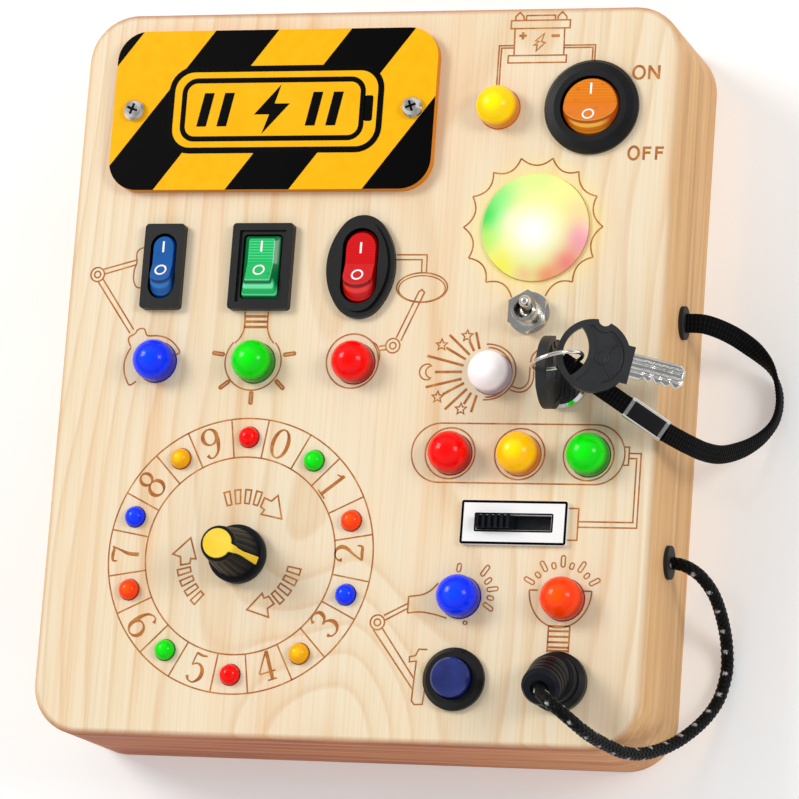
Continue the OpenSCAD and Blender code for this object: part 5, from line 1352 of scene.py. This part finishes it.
# %% Pointer
def pointer_shape(angle=-18, disc_r=3.5, thick=0.45):
    """Rows across the pointer, from the coin's far edge to the foot of its tail. The half width is the smooth
    maximum (c^4 + t^4)^(1/4) of the coin's c = sqrt(r^2 - run^2) and the tail's t."""
    corners = [(-disc_r, knob_h), (-1.5, knob_h), (1.0, knob_h), (3.6, knob_h), (4.15, knob_h - 0.12),
               (4.36, knob_h - 0.6), (4.65, 13.0), (5.2, 9.0), (5.88, 4.1)]
    path = rounded_path(corners, 0.2)
    run = run_along(path) - disc_r
    slope = unit(np.gradient(path, axis=0))
    out = np.stack([-slope[:, 1], slope[:, 0]], -1)
    coin = np.sqrt(np.clip(disc_r ** 2 - run ** 2, 0.01, None))
    tail_runs = [-4, 1.2, 2.6, 3.6, 5.5, 9.0, 14.0, 16.0]
    tail = np.interp(run, tail_runs, [0.1, 1.3, 1.35, 1.0, 0.62, 0.55, 0.85, 0.95])
    half = np.where(run < 3.3, (coin ** 4 + tail ** 4) ** 0.25, tail)[:, None]
    aside = np.concatenate([-half, -half, -half + 0.12, half - 0.12, half, half], 1)
    lift = np.array([-0.15, thick - 0.12, thick, thick, thick - 0.12, -0.15])[None, :]
    r = path[:, :1] + out[:, :1] * lift
    z = path[:, 1:] + out[:, 1:] * lift
    flat_points = np.stack([r, aside], -1) @ turned_by(angle) + dial_centre
    points = np.concatenate([flat_points, knob_foot_z + z[..., None]], -1).reshape(-1, 3)
    faces = [face[::-1] for face in tube_faces(len(r), 6)]
    piece = add_piece("dial_pointer", points, faces)
    piece.data.set_sharp_from_angle(angle=np.radians(35))
    return piece


pointer = pointer_shape()
belong(pointer, pointer_yellow, "dial", "yellow_insert", "knob_cap")

# %% [markdown]
# ## Hidden parts
# Behind the front there are batteries, a circuit board and solder legs. They are only seen when the
# back is off, but they get their own finishes: printed sleeves, green solder mask and bare tin.

# %% Battery sleeve and solder mask
sleeve, tree, shader, spot = finish("pvc_sleeve_copper_and_black", {
    "Roughness": 0.25, "IOR": 1.53, "Coat Weight": 0.3})
at_x = add(tree, "SeparateXYZ", {0: spot}).outputs["X"]
dark_half = add(tree, "MapRange", {"Value": at_x, "From Min": -37.2, "From Max": -36.8})
cloud = add(tree, "TexNoise", {"Scale": 1 / 1.5, "Detail": 3.0, "Vector": spot})
copper = add(tree, "ValToRGB", {"Fac": cloud}, [(0.3, "#B8792E"), (0.7, "#D79A4A")])
wrap = add(tree, "Mix", {0: dark_half, MIX_A: copper, MIX_B: "#16171A"}, data_type="RGBA")
fill(shader, {"Base Color": wrap})

mask, tree, shader, spot = finish("epoxy_glass_green_solder_mask", {
    "Roughness": 0.3, "IOR": 1.55, "Coat Weight": 0.2})
tracks = add(tree, "TexBrick", {
    "Scale": 0.22, "Mortar Size": 0.05, "Color1": "#0D5A2A", "Color2": "#0F6531",
    "Mortar": "#2E8A4E", "Vector": spot})
fill(shader, {"Base Color": tracks})

# %% [markdown]
# ## Finishes of the solids
# Every solid that stays gets the finish of the real piece. A table of names keeps this short and easy
# to check: each finish, and the solids that have it.

# %% Give every solid its finish
finishes = {
    pine: "wooden_case", plywood: "back_panel", printed: "sign_plate", sun: "sun_lens",
    nickel: "screws toggle_nut toggle_lever toggle_body panel_nuts key_ring strap_ferrule key_blade "
            "spare_key_blade battery_contacts solder_legs push_button_spring dial_shaft plug_pin",
    chrome: "key_lock_body key_lock_rotor",
    nylon_black: "round_rocker_frame slim_rocker_frame square_rocker_frame oval_rocker_frame "
                 "push_button_body jack_body",
    abs_black: "dial_knob plug_body slide_switch_knob", key_black: "key_head spare_key_head",
    rubber_black: "strap_grommet cord_grommet", housing_grey: "slide_switch_body rotary_switch_body",
    box_grey: "battery_box battery_cover", switch_white: "slide_switch_plate", cap_navy: "push_button_cap",
    pointer_yellow: "knob_cap", cap_blue: "slim_rocker_cap", cap_green: "square_rocker_cap",
    cap_red: "oval_rocker_cap", cap_amber: "round_rocker_cap", lens_yellow: "yellow_lamps",
    lens_amber: "dial_lamps_yellow", lens_blue: "blue_lamps dial_lamps_blue",
    lens_red: "red_lamps dial_lamps_red",
    lens_green: "green_lamps dial_lamps_green", lens_orange: "orange_lamp dial_lamps_orange",
    lens_white: "white_lamp", sleeve: "batteries", mask: "circuit_boards", webbing: "key_strap strap_loop",
    braid: "plug_cord"}
dressed = set()
for material, names in finishes.items():
    for name in names.split():
        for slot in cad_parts[name].material_slots:
            slot.material = material
        dressed.add(name)
print("dressed:", len(dressed), "left:", sorted(set(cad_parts) - dressed))

# %% [markdown]
# ## Floor and light
# The board lies on a white table that glows a little, like the light tables of product studios, so it
# stays white beside the board. A soft light on the left lets the shadows fall to the lower right, and
# a weaker one on the right lifts the board's side; together they leave a pair of small bright spots in
# every lamp. The room is darker near the horizon and overhead, which gives the metal something to reflect.

# %% Floor
floor_finish, tree, shader, spot = finish("table_white_laminate", {
    "Roughness": 0.14, "IOR": 2.1, "Emission Color": "#FFFFFF", "Emission Strength": 0.22})
dust = add(tree, "TexNoise", {"Scale": 1 / 40, "Detail": 2.0, "Vector": spot})
tone = add(tree, "ValToRGB", {"Fac": dust}, [(0.3, "#F7F7F6"), (0.7, "#FAFAFA")])
fill(shader, {"Base Color": tone})
corners = [(-3000, -3000, 0), (3000, -3000, 0), (3000, 3000, 0), (-3000, 3000, 0)]
floor = add_piece("floor", corners, [(0, 1, 2, 3)], round_shading=False)
floor.data.materials.append(floor_finish)


# %% Lights
def soft_light(name, place, size, watts, chip="#FFFFFF", target=(0, 0, 0.03)):
    """A square area light that faces its target: its -Z axis is the direction to the target."""
    lamp = bpy.data.objects.new(name, bpy.data.lights.new(name, "AREA"))
    lamp.data.shape = "SQUARE"
    lamp.data.size = size
    lamp.data.energy = watts
    lamp.data.color = linear(chip)[:3]
    away = unit(np.array(place, float) - target)
    set_up(lamp, unit(np.cross([0.0, 1.0, 0.1], away)), away, place)


soft_light("left_box", (-1.05, 0.55, 1.10), size=0.6, watts=12.5, chip="#FFFCF8")
soft_light("right_box", (1.15, 0.25, 0.95), size=0.45, watts=6.0)

# %% Room
world = bpy.data.worlds.new("white_room")
world.use_nodes = True
height = add(world.node_tree, "SeparateXYZ", {0: add(world.node_tree, "TexCoord").outputs["Generated"]})
room = add(world.node_tree, "ValToRGB", {"Fac": height.outputs["Z"]}, [
    (0.0, "#C6C7C9"), (0.12, "#8A8C90"), (0.4, "#FFFFFF"), (0.72, "#F6F7F8"), (0.88, "#A2A4A7"),
    (1.0, "#8E9093")])
fill(world.node_tree.nodes["Background"], {"Color": room, "Strength": 0.82})
bpy.context.scene.world = world
bpy.context.scene.view_settings.view_transform = "Standard"
